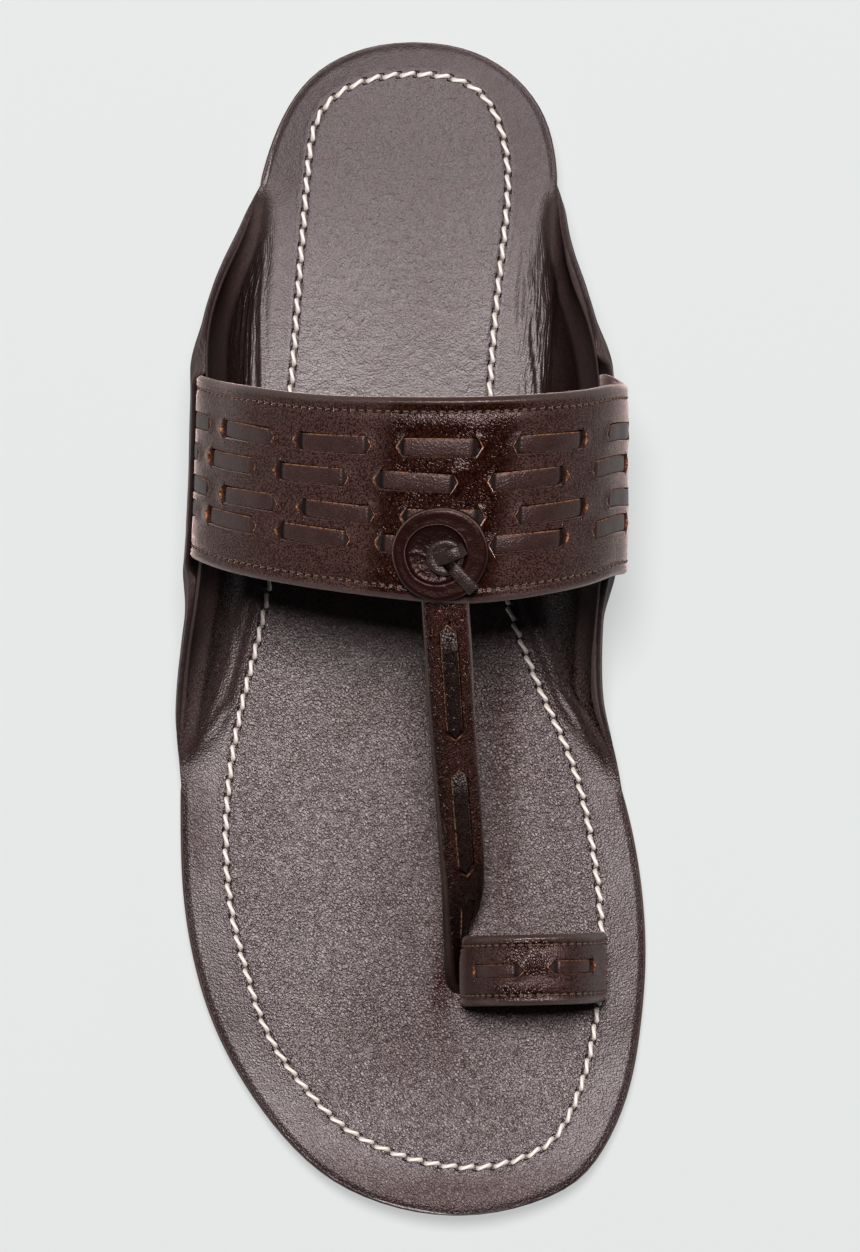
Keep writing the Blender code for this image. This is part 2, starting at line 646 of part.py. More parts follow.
def main():
    """Clears the scene and builds the sandal."""
    for item in list(bpy.data.objects):
        bpy.data.objects.remove(item, do_unlink=True)
    build_outsole()
    insole = build_sheets()
    cut_slots(insole)
    upper = build_instep_strap()
    boolean(upper, build_toe_strap(), "UNION")
    boolean(upper, build_toe_loop(), "UNION")
    build_button_and_knot()


main()
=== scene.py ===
"""Looks of the toe post sandal: its leather sheets, laced straps, seams, button, finishes and studio.

Metres, +Z up, toes to -Y and the inner side of the foot at +X, as in the frame. Lengths in the tables and in
the class fields are millimetres unless they say otherwise. A station is a share of the length from the heel.
"""

import logging
import math
from collections.abc import Iterator, Mapping, Sequence
from dataclasses import dataclass
from enum import Enum
from typing import Any, NamedTuple

import bmesh
import bpy
import numpy as np
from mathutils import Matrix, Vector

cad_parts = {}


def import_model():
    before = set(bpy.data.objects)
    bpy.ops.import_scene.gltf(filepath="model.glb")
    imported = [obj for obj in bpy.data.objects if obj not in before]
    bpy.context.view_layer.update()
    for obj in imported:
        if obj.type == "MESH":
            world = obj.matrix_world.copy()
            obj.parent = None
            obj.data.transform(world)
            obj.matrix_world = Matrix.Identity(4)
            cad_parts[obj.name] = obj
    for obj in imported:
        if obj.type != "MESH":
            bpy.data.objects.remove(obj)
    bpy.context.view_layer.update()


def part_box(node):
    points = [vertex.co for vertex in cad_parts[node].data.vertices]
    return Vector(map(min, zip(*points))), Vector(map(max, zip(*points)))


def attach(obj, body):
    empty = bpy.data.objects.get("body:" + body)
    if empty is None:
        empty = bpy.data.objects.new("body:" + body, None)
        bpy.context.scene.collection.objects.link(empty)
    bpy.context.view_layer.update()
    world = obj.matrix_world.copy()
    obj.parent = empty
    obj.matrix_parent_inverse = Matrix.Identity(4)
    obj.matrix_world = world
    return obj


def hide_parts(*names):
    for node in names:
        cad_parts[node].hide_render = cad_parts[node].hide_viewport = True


Array = np.ndarray
Colour = tuple[float, float, float]
Material = bpy.types.Material
Object = bpy.types.Object
MM = 0.001
BODY = "root"
LOG = logging.getLogger("sandal")


class Side(Enum):
    """The two sides of the foot, with the direction of each along X."""

    LATERAL = -1
    MEDIAL = 1


# -------------------- Curves and noise --------------------


def smoothstep(value: Array | float, low: float, high: float) -> Array:
    """Rises smoothly from 0 at low to 1 at high."""
    share = np.clip((np.asarray(value, float) - low) / (high - low), 0.0, 1.0)
    return share * share * (3.0 - 2.0 * share)


def bell(value: Array | float, width: float) -> Array:
    """Is 1 at 0 and falls away smoothly over a width."""
    return np.exp(-((np.asarray(value, float) / width) ** 2))


def unit(vectors: Array) -> Array:
    """Scales vectors to length 1."""
    return vectors / np.linalg.norm(vectors, axis=-1, keepdims=True)


def cubic(knots: Array, tangents: Array, piece: Array, span: Array, share: Array) -> Array:
    """Reads a curve that runs smoothly from knot to knot.

    Args:
        knots: The curve's values at its knots.
        tangents: Its slopes there.
        piece: The knot before each place.
        span: The distance from that knot to the next.
        share: How far from the one to the other the place lies, from 0 to 1.

    Returns:
        The curve's values at the places.
    """
    start = knots[piece] * (1 + 2 * share) * (1 - share) ** 2
    end = knots[piece + 1] * share**2 * (3 - 2 * share)
    leave = tangents[piece] * span * share * (1 - share) ** 2
    arrive = tangents[piece + 1] * span * share**2 * (share - 1)
    return start + end + leave + arrive


def spline(points: Sequence[Sequence[float]] | Array, count: int, closed: bool = False) -> Array:
    """Draws a smooth curve through points.

    Args:
        points: The places that the curve runs through.
        count: How many points the result has, spaced evenly along each chord.
        closed: Whether the curve returns to its start.

    Returns:
        The points of the curve.
    """
    knots = np.array(points, float)
    if closed:
        knots = np.vstack([knots, knots[:1]])
    spans = np.linalg.norm(np.diff(knots, axis=0), axis=1)
    slopes = np.diff(knots, axis=0) / spans[:, None]
    size = len(knots)
    matrix = np.zeros((size, size))
    right = np.zeros_like(knots)
    for i in range(1, size - 1):
        before, after = 1.0 / spans[i - 1], 1.0 / spans[i]
        matrix[i, i - 1 : i + 2] = before, 2.0 * (before + after), after
        right[i] = 3.0 * (slopes[i - 1] * before + slopes[i] * after)
    if closed:
        before, after = 1.0 / spans[-1], 1.0 / spans[0]
        matrix[0, [size - 2, 0, 1]] = before, 2.0 * (before + after), after
        right[0] = 3.0 * (slopes[-1] * before + slopes[0] * after)
        matrix[-1, [0, -1]] = 1.0, -1.0
    else:
        matrix[0, :2] = 2.0, 1.0
        matrix[-1, -2:] = 1.0, 2.0
        right[0], right[-1] = 3.0 * slopes[0], 3.0 * slopes[-1]
    tangents = np.linalg.solve(matrix, right)
    along = np.concatenate([[0.0], np.cumsum(spans)])
    wanted = np.linspace(0.0, along[-1], count)
    piece = np.clip(np.searchsorted(along, wanted, side="right") - 1, 0, size - 2)
    span = spans[piece][:, None]
    share = (wanted - along[piece])[:, None] / span
    return cubic(knots, tangents, piece, span, share)


def along_table(table: Sequence[Any], column: str, station: Array) -> Array:
    """Reads a column of a table of rows at any station.

    Args:
        table: Rows with a station and other columns.
        column: The column's name.
        station: The stations to read it at.

    Returns:
        The column's values, on a smooth curve that never overshoots the rows.
    """
    stations = np.array([row.station for row in table])
    values = np.array([getattr(row, column) for row in table])
    steps = np.diff(stations)
    slopes = np.diff(values) / steps
    tangents = np.zeros_like(values)
    for i in range(1, len(values) - 1):
        if slopes[i - 1] * slopes[i] > 0:
            tangents[i] = 2.0 * slopes[i - 1] * slopes[i] / (slopes[i - 1] + slopes[i])
    where = np.clip(station, stations[0], stations[-1])
    piece = np.clip(np.searchsorted(stations, where, side="right") - 1, 0, len(steps) - 1)
    return cubic(values, tangents, piece, steps[piece], (where - stations[piece]) / steps[piece])


def arc_lengths(points: Array) -> Array:
    """The distance along a curve from its start to each of its points."""
    return np.concatenate([[0.0], np.cumsum(np.linalg.norm(np.diff(points, axis=0), axis=1))])


def nearest(places: Array, curve: Array) -> tuple[Array, Array]:
    """Finds the nearest of a curve's points to each place.

    Args:
        places: The places.
        curve: The curve's points.

    Returns:
        The number of the nearest point and its distance.
    """
    block = 4000
    numbers, gaps = np.empty(len(places), int), np.empty(len(places))
    for first in range(0, len(places), block):
        part = slice(first, first + block)
        squares = ((places[part, None] - curve[None]) ** 2).sum(axis=2)
        numbers[part] = squares.argmin(axis=1)
        gaps[part] = squares.min(axis=1)
    return numbers, np.sqrt(gaps)


def merged_lines(low: float, high: float, step: float, extra: Sequence[float], apart: float) -> Array:
    """Spaces grid lines evenly and adds others where there is detail.

    Args:
        low: The first line.
        high: The last line.
        step: The even spacing.
        extra: The lines to add, all of which are kept.
        apart: An even line nearer than this to an added one is dropped.

    Returns:
        All the lines, in order.
    """
    least = 0.02
    even = np.linspace(low, high, max(2, int(round((high - low) / step)) + 1))
    added = np.unique(np.round([value for value in extra if low + least < value < high - least], 3))
    keep = np.abs(even[:, None] - added[None, :]).min(axis=1) > apart
    keep[0] = keep[-1] = True
    lines = np.sort(np.concatenate([even[keep], added]))
    return lines[np.concatenate([[True], np.diff(lines) > least])]


class Unevenness:
    """Smooth seeded noise between -1 and 1, for surfaces that aren't quite even."""

    SIZE = 64

    def __init__(self, seed: int) -> None:
        """Fills the lattice from a seed."""
        self.lattice = np.random.default_rng(seed).uniform(-1.0, 1.0, (self.SIZE, self.SIZE))

    def at(self, x: Array, y: Array) -> Array:
        """Reads the noise.

        Args:
            x: Places along, in lattice cells.
            y: Places across, in lattice cells.

        Returns:
            The noise there, smooth between the lattice's points.
        """
        x, y = np.broadcast_arrays(np.asarray(x, float), np.asarray(y, float))
        i, j = np.floor(x).astype(int), np.floor(y).astype(int)
        s, t = smoothstep(x - i, 0.0, 1.0), smoothstep(y - j, 0.0, 1.0)
        i0, j0, i1, j1 = i % self.SIZE, j % self.SIZE, (i + 1) % self.SIZE, (j + 1) % self.SIZE
        low = self.lattice[i0, j0] * (1 - s) + self.lattice[i1, j0] * s
        high = self.lattice[i0, j1] * (1 - s) + self.lattice[i1, j1] * s
        return low * (1 - t) + high * t

    def layers(self, x: Array, y: Array, count: int) -> Array:
        """Adds layers of the noise, each twice as fine and half as strong as the one before."""
        return sum(self.at(x * 2.0**k + 7.3 * k, y * 2.0**k + 3.1 * k) / 2.0**k for k in range(count))


# -------------------- The last --------------------


class Edge(NamedTuple):
    """The outline's two edges at a station, as shares of the ball width."""

    station: float
    lateral: float
    medial: float


class Wing(NamedTuple):
    """Where each wing folds up, as a share of the way to the edge, and its share of the full rise."""

    station: float
    lateral_fold: float
    lateral_rise: float
    medial_fold: float
    medial_rise: float


class Arch(NamedTuple):
    """The instep strap's rear and front edge at one place across the foot."""

    across: float
    rear_station: float
    rear_up: float
    front_station: float
    front_up: float


class Rails(NamedTuple):
    """The toe strap's two edges, in millimetres."""

    lateral_x: float
    lateral_y: float
    lateral_z: float
    medial_x: float
    medial_y: float
    medial_z: float


OUTLINE = (
    Edge(0.010, -0.131, 0.142),
    Edge(0.030, -0.211, 0.221),
    Edge(0.060, -0.267, 0.279),
    Edge(0.125, -0.324, 0.312),
    Edge(0.160, -0.347, 0.316),
    Edge(0.200, -0.389, 0.340),
    Edge(0.250, -0.423, 0.376),
    Edge(0.300, -0.427, 0.392),
    Edge(0.370, -0.431, 0.397),
    Edge(0.460, -0.446, 0.395),
    Edge(0.540, -0.479, 0.388),
    Edge(0.570, -0.488, 0.396),
    Edge(0.610, -0.493, 0.428),
    Edge(0.660, -0.494, 0.466),
    Edge(0.730, -0.487, 0.496),
    Edge(0.780, -0.467, 0.502),
    Edge(0.840, -0.420, 0.491),
    Edge(0.890, -0.353, 0.468),
    Edge(0.935, -0.267, 0.423),
    Edge(0.970, -0.166, 0.355),
    Edge(0.988, -0.071, 0.268),
)
WINGS = (
    Wing(0.000, 0.85, 0.00, 0.85, 0.00),
    Wing(0.110, 0.84, 0.00, 0.86, 0.00),
    Wing(0.155, 0.80, 0.19, 0.84, 0.19),
    Wing(0.200, 0.71, 0.46, 0.76, 0.47),
    Wing(0.250, 0.69, 0.73, 0.67, 0.78),
    Wing(0.300, 0.71, 0.88, 0.61, 0.92),
    Wing(0.375, 0.73, 0.94, 0.60, 1.00),
    Wing(0.455, 0.75, 0.86, 0.65, 0.91),
    Wing(0.500, 0.74, 0.68, 0.71, 0.73),
    Wing(0.540, 0.76, 0.42, 0.79, 0.47),
    Wing(0.575, 0.80, 0.23, 0.87, 0.24),
    Wing(0.620, 0.84, 0.04, 0.88, 0.05),
    Wing(0.660, 0.85, 0.00, 0.88, 0.00),
    Wing(1.000, 0.85, 0.00, 0.88, 0.00),
)
ARCH = (
    Arch(-0.413, 0.300, 0.586, 0.457, 0.592),
    Arch(-0.349, 0.308, 0.728, 0.465, 0.680),
    Arch(-0.220, 0.318, 0.864, 0.476, 0.781),
    Arch(-0.055, 0.323, 0.959, 0.486, 0.858),
    Arch(0.128, 0.324, 0.998, 0.491, 0.888),
    Arch(0.275, 0.321, 0.970, 0.484, 0.864),
    Arch(0.385, 0.314, 0.858, 0.473, 0.757),
    Arch(0.438, 0.307, 0.728, 0.464, 0.640),
    Arch(0.458, 0.303, 0.600, 0.460, 0.520),
)
TOE_STRAP = (
    Rails(1.8, 24.0, 75.2, 12.6, 23.8, 76.3),
    Rails(2.6, 2.1, 71.0, 13.3, 1.7, 71.8),
    Rails(3.1, -5.5, 67.6, 13.9, -5.5, 67.6),
    Rails(3.7, -15.5, 61.9, 14.4, -14.7, 60.7),
    Rails(4.7, -28.3, 52.7, 15.1, -26.7, 50.7),
    Rails(5.9, -42.3, 42.2, 16.1, -40.2, 39.4),
    Rails(6.9, -53.7, 33.6, 16.7, -50.8, 30.2),
    Rails(7.7, -62.8, 27.0, 16.8, -58.7, 21.8),
    Rails(8.3, -71.6, 20.6, 15.5, -65.5, 14.9),
    Rails(9.0, -79.6, 15.0, 12.3, -71.0, 9.9),
    Rails(9.8, -84.6, 9.6, 10.9, -74.4, 8.0),
    Rails(11.2, -87.2, 6.9, 10.9, -77.0, 6.9),
)


@dataclass(frozen=True)
class Sheet:
    """The top face of a sheet, as a row of points for each station.

    Attributes:
        points: The points, in metres, from the lateral to the medial edge.
        normals: Their unit normals, upward.
        climb: How far up a wing each point lies, from 0 at its fold to 1 at its edge, below 0 on the
            lateral side.
        border: Each point's distance from the outline in millimetres, along its row.
    """

    points: Array
    normals: Array
    climb: Array
    border: Array


@dataclass(frozen=True)
class Last:
    """The sandal's driving sizes and the formulas that its sheets and straps share, in metres."""

    length: float = 275.0 * MM
    ball_width: float = 109.0 * MM
    instep_height: float = 84.5 * MM
    heel_height: float = 8.0 * MM
    toe_spring: float = 4.8 * MM
    wing_rise: float = 26.0 * MM
    insole_thick: float = 1.2 * MM
    midsole_thick: float = 1.2 * MM
    outsole_thick: float = 5.0 * MM
    gap: float = 0.3 * MM
    slip: float = 0.42 * MM
    root_thick: float = 1.5 * MM
    outsole_margin: float = 0.6 * MM
    heel_seat_end: float = 0.18
    waist_end: float = 0.62
    tread_end: float = 0.84
    toe_spring_power: float = 1.7
    contact_rise: float = 0.5 * MM
    heel_tip: float = 0.005
    toe_tip: float = 0.097
    edge_crowding: float = 0.28
    fold_reach: float = 8.0
    wing_knee: float = 0.62
    wing_lean: float = 0.86
    wing_shoulder: float = 0.45
    pocket: tuple[float, float] = (0.286, 0.453)
    pocket_fade: float = 0.045
    pocket_low: float = 0.10
    pocket_full: float = 0.36
    root_shares: tuple[float, ...] = (0.50, 0.62, 0.75, 0.88, 1.00)
    root_lateral: tuple[float, float] = (0.292, 0.445)
    root_medial: tuple[float, float] = (0.291, 0.455)

    @property
    def seat_height(self) -> float:
        """The insole's height over the flat tread."""
        return self.outsole_thick + self.midsole_thick + self.insole_thick + 2 * self.gap

    def place(self, station: Array | float) -> Array | float:
        """A station's Y."""
        return (0.5 - station) * self.length

    def station(self, y: Array | float) -> Array | float:
        """The station at a Y."""
        return 0.5 - y / self.length

    def lift(self, station: Array) -> Array:
        """How far the heel and the toe spring raise the sheets."""
        heel = self.heel_height * (1.0 - smoothstep(station, self.heel_seat_end, self.waist_end))
        beyond = np.clip((station - self.tread_end) / (1.0 - self.tread_end), 0.0, 1.0)
        return heel + self.toe_spring * beyond**self.toe_spring_power

    def outline(self, count: int = 4001) -> Array:
        """The outline of the sheets from the heel tip along the medial side, as X and Y in metres."""
        loop = [(self.heel_tip * self.ball_width, self.place(0.0))]
        loop += [(row.medial * self.ball_width, self.place(row.station)) for row in OUTLINE]
        loop += [(self.toe_tip * self.ball_width, self.place(1.0))]
        loop += [(row.lateral * self.ball_width, self.place(row.station)) for row in reversed(OUTLINE)]
        return spline(loop, count, closed=True)

    def edges(self, stations: Array) -> dict[Side, Array]:
        """The X of each side's edge at stations."""
        curve = self.outline()
        toe = int(np.argmin(curve[:, 1]))
        medial, lateral = curve[: toe + 1], curve[toe:]
        y = self.place(stations)
        return {
            Side.MEDIAL: np.interp(-y, -medial[:, 1], medial[:, 0]),
            Side.LATERAL: np.interp(y, lateral[:, 1], lateral[:, 0]),
        }

    def wing_curve(self, share: Array, reach: Array, rise: Array) -> tuple[Array, Array]:
        """How far a wing has gone across and up at a share of its curve."""
        first = 3.0 * share * (1.0 - share) ** 2
        second = 3.0 * share**2 * (1.0 - share)
        across = reach * (first * self.wing_knee + second * self.wing_lean + share**3)
        return across, rise * (second * self.wing_shoulder + share**3)

    def wing(self, stations: Array, side: Side) -> tuple[Array, Array, Array]:
        """A wing's fold X, reach and rise at stations."""
        edges = self.edges(stations)
        middle = 0.5 * (edges[Side.LATERAL] + edges[Side.MEDIAL])
        name = side.name.lower()
        fold = middle + along_table(WINGS, name + "_fold", stations) * (edges[side] - middle)
        return fold, edges[side] - fold, self.wing_rise * along_table(WINGS, name + "_rise", stations)

    def sheet(self, stations: Array, columns: int, low: float = 0.0, focus: float = 0.0) -> Sheet:
        """Lays out the insole's top face or a sheet below it.

        Args:
            stations: The rows' stations.
            columns: How many points each row has.
            low: How far below the insole's top face the sheet's top face lies, in metres.
            focus: How much closer together the points lie at the folds of the wings.

        Returns:
            The sheet.
        """
        seat = self.seat_height + self.lift(stations)
        folds = {side: self.wing(stations, side) for side in Side}
        shares = np.linspace(0.0, 1.0, 49)
        flat = np.linspace(0.0, 1.0, 41)[1:-1]
        spread = np.linspace(0.0, 1.0, columns)
        crowd = self.edge_crowding
        spread = (1.0 - crowd) * spread + crowd * 0.5 * (1.0 - np.cos(math.pi * spread))
        rows, climbs, borders = [], [], []
        for i, station in enumerate(stations):
            x_parts, z_parts = [], []
            for side in Side:
                fold, reach, rise = (values[i] for values in folds[side])
                across, up = self.wing_curve(shares, reach, rise)
                order = slice(None, None, side.value)
                x_parts.append((fold + across)[order])
                z_parts.append((seat[i] + up)[order])
            lateral_fold, medial_fold = folds[Side.LATERAL][0][i], folds[Side.MEDIAL][0][i]
            x = np.concatenate([x_parts[0], lateral_fold + flat * (medial_fold - lateral_fold), x_parts[1]])
            z = np.concatenate([z_parts[0], np.full_like(flat, seat[i]), z_parts[1]])
            climb = np.concatenate([-shares[::-1], np.zeros_like(flat), shares])
            arc = arc_lengths(np.stack([x, z], axis=1))
            even = np.linspace(0.0, arc[-1], 401)
            turns = (len(shares) - 1, -len(shares))
            folded = [bell((even - arc[turn]) / MM, self.fold_reach) for turn in turns]
            reached = np.cumsum(1.0 + focus * (folded[0] + folded[1]))
            wanted = np.interp(spread, (reached - reached[0]) / (reached[-1] - reached[0]), even)
            y = np.full(columns, self.place(station))
            rows.append(np.stack([np.interp(wanted, arc, x), y, np.interp(wanted, arc, z)], axis=1))
            climbs.append(np.interp(wanted, arc, climb))
            borders.append(np.minimum(wanted, arc[-1] - wanted) / MM)
        points = np.array(rows)
        normals = grid_normals(points)
        climb = np.array(climbs)
        if low:
            points = points - normals * (low + self.pocket_extra(stations, climb))[:, :, None]
        return Sheet(points, normals, climb, np.array(borders))

    def pocket_extra(self, stations: Array, climb: Array) -> Array:
        """How much further the two sheets lie apart where a strap's root is between them."""
        along = smoothstep(stations, self.pocket[0] - self.pocket_fade, self.pocket[0])
        along = along * (1.0 - smoothstep(stations, self.pocket[1], self.pocket[1] + self.pocket_fade))
        up = smoothstep(np.abs(climb), self.pocket_low, self.pocket_full)
        return (self.root_thick + 2.0 * self.slip - self.gap) * along[:, None] * up

    def height_at(self, x: Array, y: Array) -> Array:
        """The height of the insole's top face above places given in metres."""
        x, y = np.atleast_1d(x), np.atleast_1d(y)
        stations = self.station(y)
        height = self.seat_height + self.lift(stations)
        shares = np.linspace(0.0, 1.0, 60)
        for side in Side:
            fold, reach, rise = self.wing(stations, side)
            for i in np.flatnonzero((x - fold) * side.value > 0.0):
                across, up = self.wing_curve(shares, abs(reach[i]), rise[i])
                height[i] += np.interp(abs(x[i] - fold[i]), across, up)
        return height

    def wing_outside(self, stations: Array, side: Side, share: float, away: float) -> Array:
        """Points on a wing's curve, moved away from the foot along its normal."""
        step = 0.01
        fold, reach, rise = self.wing(stations, side)
        seat = self.seat_height + self.lift(stations)
        low, high = [self.wing_curve(value, reach, rise) for value in (share - step, share)]
        run, climb = high[0] - low[0], high[1] - low[1]
        size = np.hypot(run, climb)
        x = fold + high[0] + away * climb / size * np.sign(reach)
        z = seat + high[1] - away * np.abs(run) / size
        return np.stack([x, self.place(stations), z], axis=1)

    def instep_grid(self, columns: int, rows: int) -> Array:
        """The instep strap's outer face, from the lateral to the medial root and from rear to front."""
        away = self.insole_thick + self.slip + self.root_thick
        share = np.linspace(0.0, 1.0, rows)
        lateral = self.root_lateral[0] + share * (self.root_lateral[1] - self.root_lateral[0])
        medial = self.root_medial[0] + share * (self.root_medial[1] - self.root_medial[0])
        lines = [self.wing_outside(lateral, Side.LATERAL, root, away) for root in self.root_shares]
        for row in ARCH:
            station = row.rear_station + share * (row.front_station - row.rear_station)
            up = row.rear_up + share * (row.front_up - row.rear_up)
            x = np.full_like(share, row.across * self.ball_width)
            lines.append(np.stack([x, self.place(station), up * self.instep_height], axis=1))
        lines += [self.wing_outside(medial, Side.MEDIAL, root, away) for root in reversed(self.root_shares)]
        stacked = np.array(lines)
        return np.stack([spline(stacked[:, i], columns) for i in range(rows)], axis=1)


def grid_normals(grid: Array) -> Array:
    """The unit normals of a grid of points, upward in its middle."""
    normals = unit(np.cross(np.gradient(grid, axis=0), np.gradient(grid, axis=1)))
    middle = normals[normals.shape[0] // 2, normals.shape[1] // 2, 2]
    return normals * (1.0 if middle >= 0.0 else -1.0)


def cap_stations(tip: float, inner: float, rows: int) -> Array:
    """Stations round the heel or the toe, close together at the tip."""
    turn = 1.0 - np.cos(0.5 * math.pi * (np.arange(rows) + 0.25) / rows)
    return tip + (inner - tip) * turn


# -------------------- Meshes --------------------


class Draft:
    """A mesh while it is being made: points, faces and values that the finish reads."""

    def __init__(self) -> None:
        """Starts with nothing."""
        self.points: list[Array] = []
        self.faces: list[list[int]] = []
        self.marks: dict[str, list[Array]] = {}
        self.count = 0

    def loft(self, loops: Array, **marks: Array | float) -> None:
        """Adds a closed skin over loops of points, with a flat cap at each end.

        Args:
            loops: Loops of as many points each, in order along the skin, in metres.
            **marks: Values for the loops' points, under the names that the finish reads them by.
        """
        rows, size = loops.shape[:2]
        for name in set(self.marks) | set(marks):
            values = self.marks.setdefault(name, [np.zeros(self.count)] if self.count else [])
            values.append(np.broadcast_to(marks.get(name, 0.0), (rows, size)).ravel())
        index = np.arange(rows * size).reshape(rows, size) + self.count
        after = np.roll(index, -1, axis=1)
        corners = (index[:-1], after[:-1], after[1:], index[1:])
        self.faces += np.stack([corner.ravel() for corner in corners], axis=1).tolist()
        self.faces += [index[0, ::-1].tolist(), index[-1].tolist()]
        self.points.append(loops.reshape(-1, 3))
        self.count += rows * size

    def piece(self, name: str, finish: Material, sharp: float = 180.0) -> Object:
        """Makes the object.

        Args:
            name: The object's name.
            finish: Its material.
            sharp: Faces that meet at more than this many degrees show an edge.

        Returns:
            The object, in the scene.
        """
        mesh = bpy.data.meshes.new(name)
        mesh.from_pydata(np.concatenate(self.points).tolist(), [], self.faces)
        tidy = bmesh.new()
        tidy.from_mesh(mesh)
        bmesh.ops.recalc_face_normals(tidy, faces=tidy.faces)
        tidy.to_mesh(mesh)
        tidy.free()
        mesh.shade_smooth()
        if sharp < 180.0:
            mesh.set_sharp_from_angle(angle=math.radians(sharp))
        for mark, values in self.marks.items():
            attribute = mesh.attributes.new(mark, "FLOAT", "POINT")
            attribute.data.foreach_set("value", np.concatenate(values).astype(np.float32))
        mesh.materials.append(finish)
        piece = bpy.data.objects.new(name, mesh)
        bpy.context.scene.collection.objects.link(piece)
        return piece


def fit(piece: Object, slot: str, *nodes: str) -> Object:
    """Joins a finished piece to the frame and reports it.

    Args:
        piece: The piece.
        slot: The name of the material slot that it is reported with.
        *nodes: The nodes of the frame that it stands for.

    Returns:
        The piece.
    """
    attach(piece, BODY)
    if nodes:
        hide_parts(*nodes)
    triangles = sum(len(face.vertices) - 2 for face in piece.data.polygons)
    LOG.info("%s: %d triangles, %s", piece.name, triangles, slot)
    return piece


# -------------------- Finishes --------------------


class Signal:
    """A number, vector or colour that varies over a surface, as the socket that it comes from."""

    def __init__(self, paint: "Paint", socket: bpy.types.NodeSocket) -> None:
        """Wraps a socket of a material that is being mixed."""
        self.paint = paint
        self.socket = socket

    def _math(self, operation: str, *values: Any) -> "Signal":
        """Adds a Math node."""
        return self.paint.add("ShaderNodeMath", {"operation": operation}, dict(enumerate(values)))

    def __add__(self, other: Any) -> "Signal":
        """Adds."""
        return self._math("ADD", self, other)

    __radd__ = __add__

    def __sub__(self, other: Any) -> "Signal":
        """Subtracts."""
        return self._math("SUBTRACT", self, other)

    def __rsub__(self, other: Any) -> "Signal":
        """Subtracts from a number."""
        return self._math("SUBTRACT", other, self)

    def __mul__(self, other: Any) -> "Signal":
        """Multiplies."""
        return self._math("MULTIPLY", self, other)

    __rmul__ = __mul__

    def __neg__(self) -> "Signal":
        """Changes the sign."""
        return self._math("MULTIPLY", self, -1.0)

    def __abs__(self) -> "Signal":
        """Drops the sign."""
        return self._math("ABSOLUTE", self)

    def repeat(self, length: float) -> "Signal":
        """The distance to the nearest multiple of a length."""
        return abs(self._math("PINGPONG", self, 0.5 * length))

    def lower(self, other: Any) -> "Signal":
        """The lower of two numbers."""
        return self._math("MINIMUM", self, other)

    def higher(self, other: Any) -> "Signal":
        """The higher of two numbers."""
        return self._math("MAXIMUM", self, other)

    def rise(self, low: float, high: float) -> "Signal":
        """Goes smoothly from 0 to 1 as the number goes from low to high, which may be the lower."""
        if low < high:
            return self.slope(low, high, 0.0, 1.0, "SMOOTHSTEP")
        return self.slope(high, low, 1.0, 0.0, "SMOOTHSTEP")

    def slope(self, low: float, high: float, start: float, end: float, way: str = "LINEAR") -> "Signal":
        """Goes from start to end as the number goes from low to high."""
        values = {0: self, 1: low, 2: high, 3: start, 4: end}
        return self.paint.add("ShaderNodeMapRange", {"interpolation_type": way}, values)


